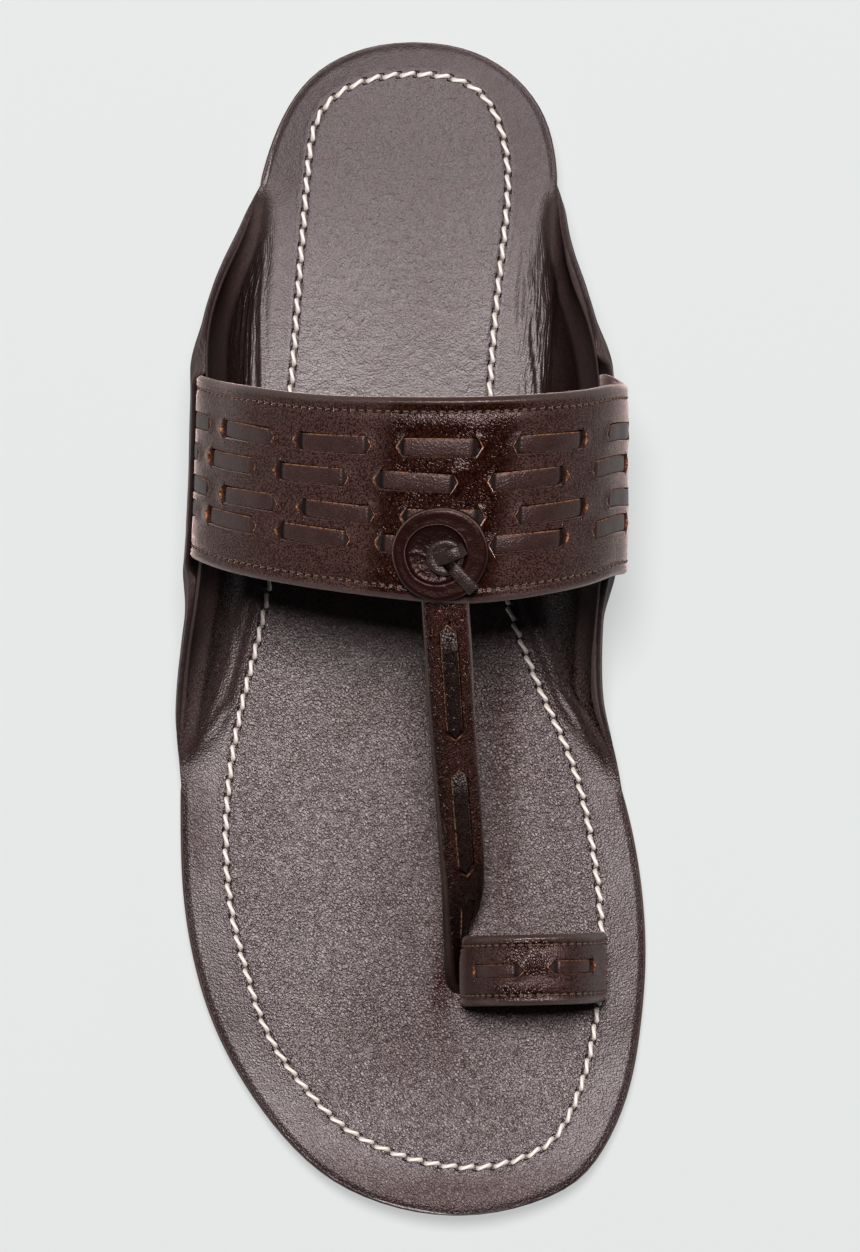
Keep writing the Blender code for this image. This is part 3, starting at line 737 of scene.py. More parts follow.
class Paint:
    """A material or a world while its nodes are being wired."""

    def __init__(self, name: str, blocks: Any = None) -> None:
        """Starts with an empty node tree.

        Args:
            name: The name of the material or the world.
            blocks: The file's worlds for a world.
        """
        self.block = (bpy.data.materials if blocks is None else blocks).new(name)
        self.block.use_nodes = True
        self.tree = self.block.node_tree
        self.tree.nodes.clear()

    def add(
        self,
        kind: str,
        settings: Mapping[str, Any] | None = None,
        sockets: Mapping[int | str, Any] | None = None,
        output: int | str = 0,
    ) -> Signal:
        """Adds a node.

        Args:
            kind: The node's type.
            settings: Its properties, which are set first.
            sockets: Values or signals for its inputs, by name or number.
            output: The output to return.

        Returns:
            The output as a signal.
        """
        node = self.tree.nodes.new(kind)
        for name, value in (settings or {}).items():
            setattr(node, name, value)
        for name, value in (sockets or {}).items():
            if isinstance(value, Signal):
                self.tree.links.new(value.socket, node.inputs[name])
            else:
                node.inputs[name].default_value = value
        return Signal(self, node.outputs[output])

    def end(self, kind: str, shader: Signal) -> Any:
        """Links a shader to an output of this type and returns the material or the world."""
        self.tree.links.new(shader.socket, self.tree.nodes.new(kind).inputs["Surface"])
        return self.block

    def mark(self, name: str) -> Signal:
        """A value that the mesh carries."""
        return self.add("ShaderNodeAttribute", {"attribute_name": name}, output="Fac")

    def place(self) -> Signal:
        """The place on the object, in metres."""
        return self.add("ShaderNodeTexCoord", output="Object")

    def stretched(self, where: Signal, scale: tuple[float, float, float]) -> Signal:
        """A place with its parts scaled, so that what is drawn there is stretched."""
        return self.add("ShaderNodeMapping", sockets={"Vector": where, "Scale": scale})

    def vector(self, x: Any = 0.0, y: Any = 0.0, z: Any = 0.0) -> Signal:
        """A vector of three numbers."""
        return self.add("ShaderNodeCombineXYZ", sockets={0: x, 1: y, 2: z})

    def leaning(self, where: Signal, turn: float, stretch: float) -> Signal:
        """A place turned about Z and drawn out along its new X, so that what is drawn there leans."""
        values = {"Vector": where, "Rotation": (0.0, 0.0, turn), "Scale": (stretch, 1.0, 1.0)}
        return self.add("ShaderNodeMapping", {"vector_type": "TEXTURE"}, values)

    def wrinkles(self, where: Signal, pitch: float) -> Signal:
        """Fine leather grain: small leaning cells between dark wrinkles, from 0 to 1.

        Args:
            where: The place, in metres.
            pitch: How wide a cell is, in millimetres.

        Returns:
            Their height.
        """
        drawn = self.leaning(where, -0.85, 1.6)
        cell = self.pebble(drawn, 1.0 / (pitch * MM), loose=0.85)
        patches = self.noise(where, 700.0, 1.0, 0.5).rise(0.38, 0.62)
        return 1.0 - (1.0 - cell) * (0.72 + patches * 0.28)

    def noise(self, where: Signal, scale: float, detail: float = 2.0, roughness: float = 0.5) -> Signal:
        """Smooth noise about 0.5."""
        values = {"Vector": where, "Scale": scale, "Detail": detail, "Roughness": roughness}
        return self.add("ShaderNodeTexNoise", None, values)

    def pebble(self, where: Signal, scale: float, rim: float = 0.3, loose: float = 1.0) -> Signal:
        """Scattered cells, which rise from 0 along their edges to 1 over the width of their rims."""
        values = {"Vector": where, "Scale": scale, "Randomness": loose}
        return self.add("ShaderNodeTexVoronoi", {"feature": "DISTANCE_TO_EDGE"}, values).rise(0.0, rim)

    def colour(self, factor: Signal | float, first: Any, second: Any) -> Signal:
        """Mixes two colours."""
        settings = {"data_type": "RGBA"}
        first, second = [value if isinstance(value, Signal) else (*value, 1.0) for value in (first, second)]
        return self.add("ShaderNodeMix", settings, {0: factor, 6: first, 7: second}, output=2)

    def surface(
        self,
        colour: Signal,
        roughness: Signal | float,
        relief: Sequence[tuple[Signal, float]],
        constants: Mapping[str, Any],
        shaded: Signal | float = 0.0,
    ) -> Material:
        """Ends the material with its shader.

        Args:
            colour: The base colour.
            roughness: The roughness.
            relief: Heights in signals, each with the millimetres that 1 stands for.
            constants: Values of other sockets of the shader.
            shaded: The weight of the coat, which darkens the leather as deeply as its tint says: painted
                shade, and darker creases.

        Returns:
            The material.
        """
        values: dict[int | str, Any] = {"Base Color": colour, "Roughness": roughness, "Coat Weight": shaded}
        values.update(constants)
        if relief:
            heights = [signal * size for signal, size in relief]
            height = sum(heights[1:], heights[0])
            values["Normal"] = self.add("ShaderNodeBump", None, {"Height": height, "Distance": MM})
        return self.end("ShaderNodeOutputMaterial", self.add("ShaderNodeBsdfPrincipled", None, values))


@dataclass(frozen=True, kw_only=True)
class Finish:
    """A finish, with the values of its shader that are the same all over."""

    name: str
    level: float = 0.4
    tint: Colour | None = None
    shade: Colour | None = None

    def constants(self) -> dict[str, Any]:
        """The strength and tint of the reflections, and the colour by which a full coat darkens it without
        gloss, for painted shade and darker creases.
        """
        values: dict[str, Any] = {"Specular IOR Level": self.level}
        if self.tint:
            values["Specular Tint"] = (*self.tint, 1.0)
        if self.shade:
            values.update({"Coat IOR": 1.0, "Coat Tint": (*self.shade, 1.0)})
        return values


@dataclass(frozen=True, kw_only=True)
class InsoleLeather(Finish):
    """Smooth dark leather with a fine pebble, pierced along its seam."""

    name: str = "insole_leather"
    level: float = 1.10
    shade: Colour = (0.36, 0.29, 0.29)
    pitch: float
    deep: Colour = (0.018, 0.0065, 0.006)
    pale_and_shaded: Colour = (0.046, 0.0195, 0.0175)
    hole: Colour = (0.004, 0.002, 0.002)
    edge: Colour = (0.030, 0.014, 0.011)
    rubbed_highlight: Colour = (0.150, 0.112, 0.105)
    cells_per_metre: float = 1150.0
    wrinkle_pitch: float = 0.63
    roughness: float = 0.37
    ridge_pitch: float = 1.10
    ridge_slope: float = 0.10

    def drawn(self, paint: Paint) -> Signal:
        """Thin ridges that run along the folds of the wings."""
        out, down = paint.mark("wing_out"), paint.mark("wing_down")
        sway = paint.noise(paint.vector(out * 0.13, down * 0.050), 1.0, 2.0, 0.55) * 6.0
        ripple = paint.noise(paint.vector(out * 0.5, down * 0.30), 1.0, 2.0, 0.5) * 0.9
        ridge = (out + sway + ripple - down * self.ridge_slope).repeat(self.ridge_pitch).rise(0.40, 0.0)
        strength = paint.noise(paint.vector(out * 0.45, down * 0.07), 1.0, 2.0, 0.5).rise(0.34, 0.62)
        return ridge * strength * (0.40 + out.rise(-1.0, 6.0)) * paint.mark("folded")

    def paint(self) -> Material:
        """Mixes the material."""
        paint = Paint(self.name)
        where = paint.place()
        off, along = abs(paint.mark("seam_off")), paint.mark("seam_along")
        wing, tall, border = paint.mark("wing"), paint.mark("tall"), paint.mark("border")
        heel, forefoot = paint.mark("heel"), paint.mark("forefoot")
        outside = paint.mark("seam_off").rise(-0.8, -2.5) * (1.0 - wing)
        mottle = paint.noise(where, 34.0, 2.0, 0.5)
        cloud = paint.noise(where, 420.0, 3.0, 0.6)
        pebble = paint.pebble(where, self.cells_per_metre)
        pores = paint.noise(where, 2300.0, 3.0, 0.65)
        wrinkles = paint.wrinkles(where, self.wrinkle_pitch)
        tone = mottle * 0.5 + (cloud - 0.5) * (3.4 - 2.4 * forefoot)
        tone = tone + wrinkles * (0.15 + 0.75 * forefoot) - 0.10
        tone = tone.lower(1.0).higher(0.0)
        # Painted shade: the wings and the border outside the seam take the darker colour.
        colour = paint.colour(tone * (1.0 - wing * 0.75), self.deep, self.pale_and_shaded)
        colour = paint.colour(outside * 0.5, colour, self.deep)
        # Painted shade in the stitch holes.
        hole = along.repeat(self.pitch).rise(0.80, 0.50) * off.rise(0.95, 0.60)
        colour = paint.colour(hole * 0.97, colour, self.hole)
        colour = paint.colour(border.rise(0.5, 0.1) * 0.35, colour, self.edge)
        # The wings' top edges are burnished lighter, with a painted highlight.
        colour = paint.colour(border.rise(3.4, 2.4) * wing * 0.80, colour, self.rubbed_highlight)
        roughness = self.roughness + heel * 0.14 + (cloud - 0.5) * 0.10 - wing * 0.07
        fine = (1.0 - tall * 0.85) * (1.0 - outside * 0.6)
        relief = (
            (mottle, 0.45),
            (pebble * (0.25 + forefoot * 0.75) * fine, 0.058),
            (cloud * (1.0 + heel * 0.6 - forefoot * 0.50) * (1.0 - outside * 0.5), 0.20),
            (wrinkles * (0.20 + forefoot * 0.80) * fine, 0.056),
            (pores, 0.11),
            (self.drawn(paint), 0.085),
            (-hole, 0.5),
        )
        # The coat is painted shade on the wings and their tall walls, at the heel, where the middle mark
        # says and outside the seam, most at the toe tip; it also darkens the grain's creases and varies at
        # random.
        creased = (1.0 - wrinkles) * (0.15 + forefoot * 0.42) * (1.0 - tall * 0.8) * (1.0 - outside * 0.3)
        shaded = wing * 0.40 + tall * 0.36 + creased + heel * 0.36 + paint.mark("middle") * 0.17
        shaded = shaded + outside * (0.22 + paint.mark("tip") * 0.50)
        shaded = shaded + (mottle - 0.5) * (0.2 + 0.6 * forefoot)
        return paint.surface(colour, roughness, relief, self.constants(), shaded.higher(0.0))


@dataclass(frozen=True, kw_only=True)
class SoleLeather(Finish):
    """Leather of the midsole and the outsole, with fibres that show along the cut edge."""

    level: float = 0.6
    face: Colour
    cut: Colour
    fibres_per_metre: float
    cells_per_metre: float = 1250.0
    roughness: float = 0.5

    def paint(self) -> Material:
        """Mixes the material."""
        paint = Paint(self.name)
        where = paint.place()
        cut = paint.mark("cut")
        mottle = paint.noise(where, 60.0, 5.0, 0.6)
        pebble = paint.pebble(where, self.cells_per_metre, 0.34)
        layers = paint.noise(paint.stretched(where, (60.0, 60.0, self.fibres_per_metre)), 1.0, 4.0, 0.6)
        fuzz = paint.noise(where, 3000.0, 3.0, 0.7)
        tone = cut * layers.rise(0.35, 0.68) * 0.9 + (1.0 - cut) * mottle * 0.5
        colour = paint.colour(tone, self.face, self.cut)
        roughness = self.roughness + (fuzz - 0.5) * 0.2
        relief = ((pebble * (1.0 - cut), 0.06), (layers * cut, 0.22), (fuzz, 0.04))
        return paint.surface(colour, roughness, relief, self.constants())


@dataclass(frozen=True, kw_only=True)
class StrapLeather(Finish):
    """Brushed dark leather that turns redder, glossy and crinkled where it is worked, with raw cuts."""

    stitch_pitch: float
    level: float = 0.30
    tint: Colour = (1.0, 0.84, 0.80)
    shade: Colour = (0.26, 0.20, 0.185)
    sheen: float = 0.75
    nap: float = 0.25
    warmth: Colour = (1.0, 0.78, 0.72)
    roughness: float = 0.37
    grain: float = 0.042
    polish: float = 0.20
    cell: float = 0.66
    crinkled: float = 0.03
    brushed: Colour = (0.013, 0.0052, 0.0044)
    brushed_light: Colour = (0.066, 0.0315, 0.0262)
    glossy: Colour = (0.026, 0.0078, 0.0042)
    glossy_dark: Colour = (0.011, 0.0030, 0.0020)
    burnished: Colour = (0.058, 0.041, 0.038)
    raw: Colour = (0.560, 0.265, 0.130)
    raw_dark: Colour = (0.045, 0.013, 0.005)
    hole: Colour = (0.006, 0.003, 0.002)

    def constants(self) -> dict[str, Any]:
        """The values of every finish, and the soft sheen of the nap."""
        values = super().constants()
        values.update({"Sheen Weight": self.sheen, "Sheen Roughness": self.nap})
        values["Sheen Tint"] = (*self.warmth, 1.0)
        return values

    def paint(self) -> Material:
        """Mixes the material."""
        paint = Paint(self.name)
        where = paint.place()
        along, across = paint.mark("along"), paint.mark("across")
        gloss, raw, rim, seam = (paint.mark(name) for name in ("gloss", "raw", "rim", "seam"))
        flat = paint.vector(along, across)
        streaks = paint.noise(paint.stretched(flat, (3.4, 0.30, 1.0)), 1.0, 4.0, 0.65)
        mottle = paint.noise(flat, 0.11, 4.0, 0.6)
        wrinkles = paint.wrinkles(where, self.cell)
        crinkle = paint.noise(where, 900.0, 3.0, 0.6)
        fuzz = paint.noise(where, 2700.0, 1.0, 0.5).rise(0.36, 0.64)
        worked = (gloss + (mottle - 0.5) * 0.15 * gloss.rise(0.02, 0.3)).rise(0.15, 0.85)
        tone = (streaks * 0.5 + mottle * 0.3 + fuzz * 0.6 - 0.26).rise(0.0, 1.0)
        plain = paint.colour(tone, self.brushed, self.brushed_light)
        tone = (crinkle - 0.5) * 1.4 + wrinkles * 1.1 - 0.10
        shiny = paint.colour(tone.rise(0.05, 0.95), self.glossy_dark, self.glossy)
        colour = paint.colour(worked, plain, shiny)
        # The rims are burnished and carry a painted highlight.
        colour = paint.colour(rim * 0.75, colour, self.burnished)
        specks = paint.noise(where, 1500.0, 1.0, 0.5).rise(0.40, 0.60)
        cut = paint.colour((0.10 + specks * 0.90) * raw.rise(0.80, 0.98), self.raw_dark, self.raw)
        colour = paint.colour(raw.rise(0.60, 0.92), colour, cut)
        # Painted shade in the stitch holes along the seams.
        hole = along.repeat(self.stitch_pitch).rise(0.55, 0.35) * seam.rise(0.50, 0.30)
        colour = paint.colour(hole * 0.9, colour, self.hole)
        # Painted shade: black where the band is marked for it.
        colour = paint.colour(paint.mark("soil") * 0.85, colour, self.hole)
        roughness = self.roughness - worked * self.polish - rim * 0.02 + (streaks - 0.5) * 0.1 + raw * 0.3
        roughness = roughness + (fuzz - 0.5) * 0.12 * (1.0 - worked)
        relief = (
            (crinkle * worked * (1.0 - rim), self.crinkled),
            (wrinkles * (0.12 + worked * 0.88) * (1.0 - rim * 0.8), self.grain),
            (streaks, 0.10),
            (fuzz * (1.0 + raw - worked * 0.6), 0.022),
            (-hole, 0.3),
        )
        shaded = (1.0 - wrinkles) * worked * 0.60 + (1.0 - fuzz) * (1.0 - worked) * 0.36
        return paint.surface(colour, roughness, relief, self.constants(), shaded * (1.0 - rim * 0.7))


@dataclass(frozen=True, kw_only=True)
class LaceLeather(Finish):
    """Flat lace leather, as brown as the straps, with fibrous cut sides."""

    tint: Colour = (1.0, 0.86, 0.83)
    shade: Colour = (0.20, 0.16, 0.15)
    roughness: float = 0.38
    gloss: float = 0.0
    face: Colour = (0.038, 0.0195, 0.0170)
    dark: Colour = (0.022, 0.0100, 0.0088)
    side: Colour = (0.300, 0.140, 0.070)
    # The colour of the painted highlight near a lace's first slit.
    pale_and_shaded: Colour = (0.200, 0.176, 0.166)
    # The colour of the painted shade under the slits' lips.
    buried: Colour = (0.004, 0.002, 0.0015)

    def paint(self) -> Material:
        """Mixes the material."""
        paint = Paint(self.name)
        where = paint.place()
        side, deep = paint.mark("side"), paint.mark("deep")
        mottle = paint.noise(where, 260.0, 4.0, 0.6)
        pebble = paint.pebble(where, 1500.0)
        wrinkles = paint.wrinkles(where, 0.54)
        fuzz = paint.noise(where, 1700.0, 2.0, 0.6).rise(0.34, 0.66)
        colour = paint.colour(mottle.rise(0.3, 0.7) * 0.6 + fuzz * 0.4, self.dark, self.face)
        colour = paint.colour(side.rise(0.25, 0.8) * fuzz.rise(0.0, 0.8), colour, self.side)
        # Painted highlight where the lace bends down at its first slit.
        colour = paint.colour(paint.mark("tip") * wrinkles.rise(0.30, 0.90), colour, self.pale_and_shaded)
        # Painted shade where the lace lies under the slits' lips.
        colour = paint.colour(deep * 0.9, colour, self.buried)
        roughness = self.roughness - 0.12 * self.gloss
        roughness = roughness + side * 0.25 - paint.mark("shine") * 0.14 + deep * 0.35
        relief = ((mottle, 0.09), (pebble, 0.03), (wrinkles, 0.018 + 0.12 * self.gloss), (fuzz, 0.012))
        shaded = (1.0 - wrinkles) * (0.15 + 0.55 * self.gloss)
        return paint.surface(colour, roughness, relief, self.constants(), shaded)


@dataclass(frozen=True, kw_only=True)
class Thread(Finish):
    """Waxed thread of two strands."""

    level: float = 0.35
    light: Colour
    dark: Colour
    roughness: float = 0.62

    def paint(self) -> Material:
        """Mixes the material."""
        paint = Paint(self.name)
        where = paint.place()
        strand = paint.mark("strand")
        soil = paint.noise(where, 160.0, 3.0, 0.6)
        fibres = paint.noise(where, 5200.0, 2.0, 0.7)
        # Painted shade in the grooves between the two strands; soiling and fibres vary at random.
        tone = (strand * 0.75 + soil * 0.5 + fibres * 0.3 - 0.25).rise(0.0, 1.0)
        colour = paint.colour(tone, self.dark, self.light)
        return paint.surface(colour, self.roughness, ((fibres, 0.04),), self.constants())


@dataclass(frozen=True, kw_only=True)
class ButtonLeather(Finish):
    """Polished red-brown leather, pebbled in the dish, with painted highlights along its rims."""

    name: str = "button_leather"
    level: float = 0.21
    tint: Colour = (1.0, 0.74, 0.69)
    roughness: float = 0.32
    ring: Colour = (0.0125, 0.0030, 0.0020)
    dish: Colour = (0.010, 0.0042, 0.0034)
    dark: Colour = (0.006, 0.002, 0.002)
    rubbed_highlight: Colour = (0.120, 0.078, 0.066)

    def paint(self) -> Material:
        """Mixes the material."""
        paint = Paint(self.name)
        where = paint.place()
        dish, rub = paint.mark("dish"), paint.mark("rub")
        mottle = paint.noise(where, 330.0, 4.0, 0.62)
        pebble = paint.pebble(where, 1150.0)
        fuzz = paint.noise(where, 3400.0, 3.0, 0.7)
        colour = paint.colour(dish, self.ring, self.dish)
        colour = paint.colour((mottle - 0.35).higher(0.0) * 1.6, colour, self.dark)
        # Painted highlights along the rims.
        colour = paint.colour(rub.rise(0.3, 0.9) * fuzz.rise(0.3, 0.6), colour, self.rubbed_highlight)
        height = 0.5 + dish * 0.5
        relief = ((mottle * height, 0.055), (pebble * height, 0.032), (fuzz, 0.018))
        return paint.surface(colour, self.roughness + rub * 0.2, relief, self.constants())


@dataclass(frozen=True, kw_only=True)
class ThongLeather(Finish):
    """Dark grey thong leather, polished on its folds and raw along its cut sides."""

    name: str = "thong_leather"
    tint: Colour = (1.0, 0.86, 0.83)
    shade: Colour = (0.06, 0.045, 0.04)
    roughness: float = 0.33
    face: Colour = (0.026, 0.0165, 0.0150)
    dark: Colour = (0.009, 0.0050, 0.0042)
    side: Colour = (0.150, 0.060, 0.028)

    def paint(self) -> Material:
        """Mixes the material."""
        paint = Paint(self.name)
        where = paint.place()
        side = paint.mark("side")
        mottle = paint.noise(where, 420.0, 4.0, 0.6)
        pebble = paint.pebble(where, 1700.0)
        fuzz = paint.noise(where, 3400.0, 3.0, 0.7)
        colour = paint.colour(mottle.rise(0.3, 0.7), self.dark, self.face)
        colour = paint.colour(side.rise(0.2, 0.9) * fuzz.rise(0.4, 0.65), colour, self.side)
        relief = ((mottle, 0.09), (pebble, 0.03), (fuzz, 0.03))
        # Painted shade where the thong is tucked, along its flanks and low on the washer.
        shaded = paint.mark("tucked") * 0.95
        return paint.surface(colour, self.roughness + side * 0.2, relief, self.constants(), shaded)


@dataclass(frozen=True, kw_only=True)
class FloorPaint(Finish):
    """A plain pale floor that glows a little, so that it stays even."""

    name: str = "floor"
    level: float = 0.2
    roughness: float = 0.85
    colour: Colour = (0.235, 0.262, 0.258)
    clouded: Colour = (0.215, 0.240, 0.237)
    glow: float = 0.50
    glow_colour: Colour = (0.97, 1.0, 0.99)

    def paint(self) -> Material:
        """Mixes the material."""
        paint = Paint(self.name)
        tone = paint.noise(paint.place(), 2.0, 2.0)
        constants = self.constants()
        constants.update({"Emission Strength": self.glow, "Emission Color": (*self.glow_colour, 1.0)})
        colour = paint.colour(tone * 0.03, self.colour, self.clouded)
        return paint.surface(colour, self.roughness, (), constants)


# -------------------- Seams --------------------

# The seam's course round the insole in millimetres, from the heel along the lateral side.
SEAM = (
    (1.2, 130.1), (-9.5, 128.9), (-16.2, 126.1), (-21.4, 120.8), (-23.8, 111.9), (-25, 98),
    (-25.9, 86.9), (-28, 58.9), (-30.8, 32), (-33.7, 8.6), (-36.5, -4.6), (-39.6, -17.1),
    (-42.2, -31), (-43.5, -45), (-43.3, -58), (-41.6, -70), (-38.6, -81.5), (-33.4, -96),
    (-23.7, -109.6), (-16.9, -116.4), (-9.4, -121.1), (0.3, -124.8), (8.5, -126.4), (17.8, -126.6),
    (26.7, -124.3), (33.2, -120.4), (37.6, -113.6), (40.9, -104.7), (43.3, -93.5), (44.9, -80),
    (44.8, -69.5), (43.1, -54), (40.7, -41.3), (36.5, -28.1), (31.1, -16.1), (25.9, -3.2),
    (21.8, 8.5), (19, 25), (18.2, 42), (18.8, 60), (21.4, 87.6), (22.8, 102.7),
    (22.4, 111.5), (20.3, 119.5), (16, 126), (9.5, 129.2),
)


def sideways(line: Array, up: Array) -> tuple[Array, Array]:
    """The directions to the side of a line and over it, square to its course."""
    tangents = unit(np.gradient(line, axis=0))
    sides = unit(np.cross(tangents, up))
    return sides, np.cross(sides, tangents)


def stitches(
    draft: Draft,
    starts: Array,
    ends: Array,
    ups: Array,
    radius: float,
    height: float,
    sink: float,
    rings: int,
    sides: int,
) -> None:
    """Adds stitches of twisted thread, each of which comes up at one hole and goes down at the next.

    Args:
        draft: The mesh to add them to.
        starts: Where each comes up, in metres.
        ends: Where each goes down.
        ups: The surface's normal at each.
        radius: The thread's radius, in metres.
        height: How high its middle line lies over the surface.
        sink: How far its ends go below the surface.
        rings: How many rings each stitch has.
        sides: How many points each ring has.
    """
    twist, groove = 1.1, 0.09
    share = np.linspace(0.0, 1.0, rings)
    arch = -sink + (height + sink) * (1.0 - np.abs(2.0 * share - 1.0) ** 6)
    turn = np.linspace(0.0, 2.0 * math.pi, sides, endpoint=False)
    strand = np.cos(2.0 * turn[None, :] - 2.0 * math.pi * twist * share[:, None])
    ring_radius = radius * (1.0 + groove * strand)
    for start, end, up in zip(starts, ends, ups):
        line = start + share[:, None] * (end - start) + arch[:, None] * up
        side, over = sideways(line, up)
        ring = np.cos(turn)[None, :, None] * side[:, None] + np.sin(turn)[None, :, None] * over[:, None]
        draft.loft(line[:, None] + ring_radius[:, :, None] * ring, strand=0.5 + 0.5 * strand)


@dataclass(frozen=True)
class SoleSeam:
    """The seam of cream thread that holds the sheets to the outsole.

    The inner foot of the big toe's loop covers it beyond a share of the upper's reach along X, near a
    place along Y.
    """

    last: Last
    wanted_pitch: float = 4.08
    slant: float = 0.34
    reach: float = -0.088
    radius: float = 0.51
    height: float = 0.24
    sink: float = 1.05
    fineness: int = 6001
    loop_foot: tuple[float, float] = (0.7, -80.3)
    loop_reach: float = 7.5

    def path(self) -> Array:
        """The seam's line in X and Y, in millimetres, from the heel round the lateral side."""
        return spline(SEAM, self.fineness, closed=True)

    def pitch(self) -> float:
        """The length of one stitch, so that they close the round."""
        length = arc_lengths(self.path())[-1]
        return length / round(length / self.wanted_pitch)

    def measure(self, points: Array) -> tuple[Array, Array]:
        """Measures places from the seam.

        Args:
            points: Places in metres.

        Returns:
            How far inside the seam each lies, and how far along it, in millimetres.
        """
        path = self.path()
        flat = points.reshape(-1, 3)[:, :2] / MM
        skip = 12
        near = nearest(flat, path[::skip])[0] * skip
        fine = np.clip(near[:, None] + np.arange(-skip - 2, skip + 3)[None], 0, len(path) - 2)
        best = fine[np.arange(len(flat)), ((flat[:, None] - path[fine]) ** 2).sum(axis=2).argmin(axis=1)]
        step = path[best + 1] - path[best]
        gap = flat - path[best]
        size = np.linalg.norm(step, axis=1)
        off = (step[:, 0] * gap[:, 1] - step[:, 1] * gap[:, 0]) / size
        place = arc_lengths(path)[best] + (step * gap).sum(axis=1) / size
        shape = points.shape[:-1]
        return off.reshape(shape), place.reshape(shape)

    def holes(self, share: float, slant: float) -> Array:
        """Places holes on the insole, one for each stitch.

        Args:
            share: How far along its stitch each hole lies, from 0 to 1.
            slant: How far inside the seam's line it lies, in millimetres.

        Returns:
            The holes, in metres.
        """
        path = self.path()
        along = arc_lengths(path)
        pitch = self.pitch()
        wanted = ((np.arange(round(along[-1] / pitch)) + share) * pitch) % along[-1]
        middle, ahead = (
            np.stack([np.interp((wanted + step) % along[-1], along, path[:, i]) for i in range(2)], axis=1)
            for step in (0.0, 0.3)
        )
        course = unit(ahead - middle)
        flat = (middle + slant * np.stack([-course[:, 1], course[:, 0]], axis=1)) * MM
        return np.column_stack([flat, self.last.height_at(flat[:, 0], flat[:, 1])])

    def build(self, finish: Material) -> Object:
        """Makes the stitches on the insole, but for those under the inner foot of the big toe's loop."""
        starts = self.holes(-self.reach, -self.slant)
        ends = self.holes(1.0 + self.reach, self.slant)
        beyond, foot = self.loop_foot[0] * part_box("upper")[1].x, self.loop_foot[1] * MM
        under = (starts[:, 0] > beyond) & (np.abs(starts[:, 1] - foot) < self.loop_reach * MM)
        starts, ends = starts[~under], ends[~under]
        ups = np.tile([0.0, 0.0, 1.0], (len(starts), 1))
        radius, height, sink = self.radius * MM, self.height * MM, self.sink * MM
        draft = Draft()
        stitches(draft, starts, ends, ups, radius, height, sink, rings=15, sides=12)
        return fit(draft.piece("insole_stitches", finish), "insole_leather")


# -------------------- Sheets and sole --------------------


class Crease(NamedTuple):
    """A soft fold in the insole's top face: how deep and wide it is, and its course, in millimetres."""

    depth: float
    width: float
    course: tuple[tuple[float, float], ...]


CREASES = (
    # Round the root of the rear lateral wing.
    Crease(0.16, 0.7, ((-36.2, 94), (-34.8, 87.3), (-35.1, 80), (-35.4, 72), (-35.1, 60), (-35.2, 50))),
    Crease(0.20, 0.6, ((-37.2, 89.6), (-36.2, 83.3), (-36.9, 78), (-37.4, 72), (-37.6, 60), (-37.4, 50))),
    Crease(0.20, 0.5, ((-39.4, 89), (-38, 82), (-38.2, 76), (-38.8, 70), (-39.3, 60), (-38.9, 52))),
    Crease(0.17, 0.5, ((-41.4, 82.6), (-40, 79), (-39.7, 74), (-40.3, 69), (-40.5, 60))),
    Crease(0.14, 0.5, ((-42.5, 80.9), (-41.3, 76.7), (-41.3, 71.3), (-41.8, 66))),
    # Round the root of the rear medial wing.
    Crease(0.14, 0.9, ((26, 94.5), (26.8, 88.6), (26, 81), (25.7, 72.1), (26.8, 62), (26.9, 54))),
    Crease(0.20, 0.7, ((31, 93), (29.2, 88.6), (28, 83.9), (28.7, 78), (27.6, 71.7), (28.1, 62), (29, 50))),
    Crease(
        0.17,
        0.6,
        ((33.2, 92.5), (31.9, 88), (31, 83.8), (29.7, 77.9), (29.3, 72), (29.9, 64), (30.6, 50)),
    ),
    Crease(0.16, 0.7, ((36.2, 82.2), (33.3, 78.5), (31.6, 73.2), (31.1, 67), (31.6, 56))),
    Crease(0.14, 0.6, ((37.6, 80.2), (35, 76.8), (33.2, 71.9), (32.8, 66), (33.2, 55))),
    # Across the front roots of the wings.
    Crease(0.09, 1.2, ((-41.9, 3), (-43.8, -6.7), (-46.6, -17), (-50.4, -23.2))),
    Crease(0.09, 0.8, ((-45.2, -3.4), (-47, -9.1), (-48.7, -15.7))),
    Crease(0.06, 0.9, ((-42.8, 1.2), (-42.4, -4.4), (-43.6, -12.3))),
    Crease(0.12, 0.9, ((-46.2, -19.5), (-49, -22.5), (-52.4, -26.4))),
    Crease(0.14, 0.9, ((-42.2, -17), (-46.4, -22.2), (-50.6, -27.6))),
    Crease(0.20, 1.0, ((36.5, -11.8), (39.8, -17.1), (42.8, -22))),
    Crease(0.18, 0.9, ((34.2, -13.7), (38.6, -19.9), (41.7, -24.4))),
    # The slot's lip round the foot of the toe strap.
    Crease(-0.45, 0.42, ((7.9, -75.5), (8, -79), (8.3, -83.2), (9.1, -85.7), (10.4, -87), (12.4, -87.9))),
)


class Draw(NamedTuple):
    """How a wing draws the leather along its fold.

    Attributes:
        start: Where the ridges start and where they are full, in millimetres past the fold.
        strength: How strong the ridges are.
        ahead: How much of them is left ahead of the instep strap.
        step_start: Where the leather steps up, in millimetres past the fold.
        step: How far it steps up, in millimetres.
    """

    start: tuple[float, float]
    strength: float
    ahead: float
    step_start: float
    step: float


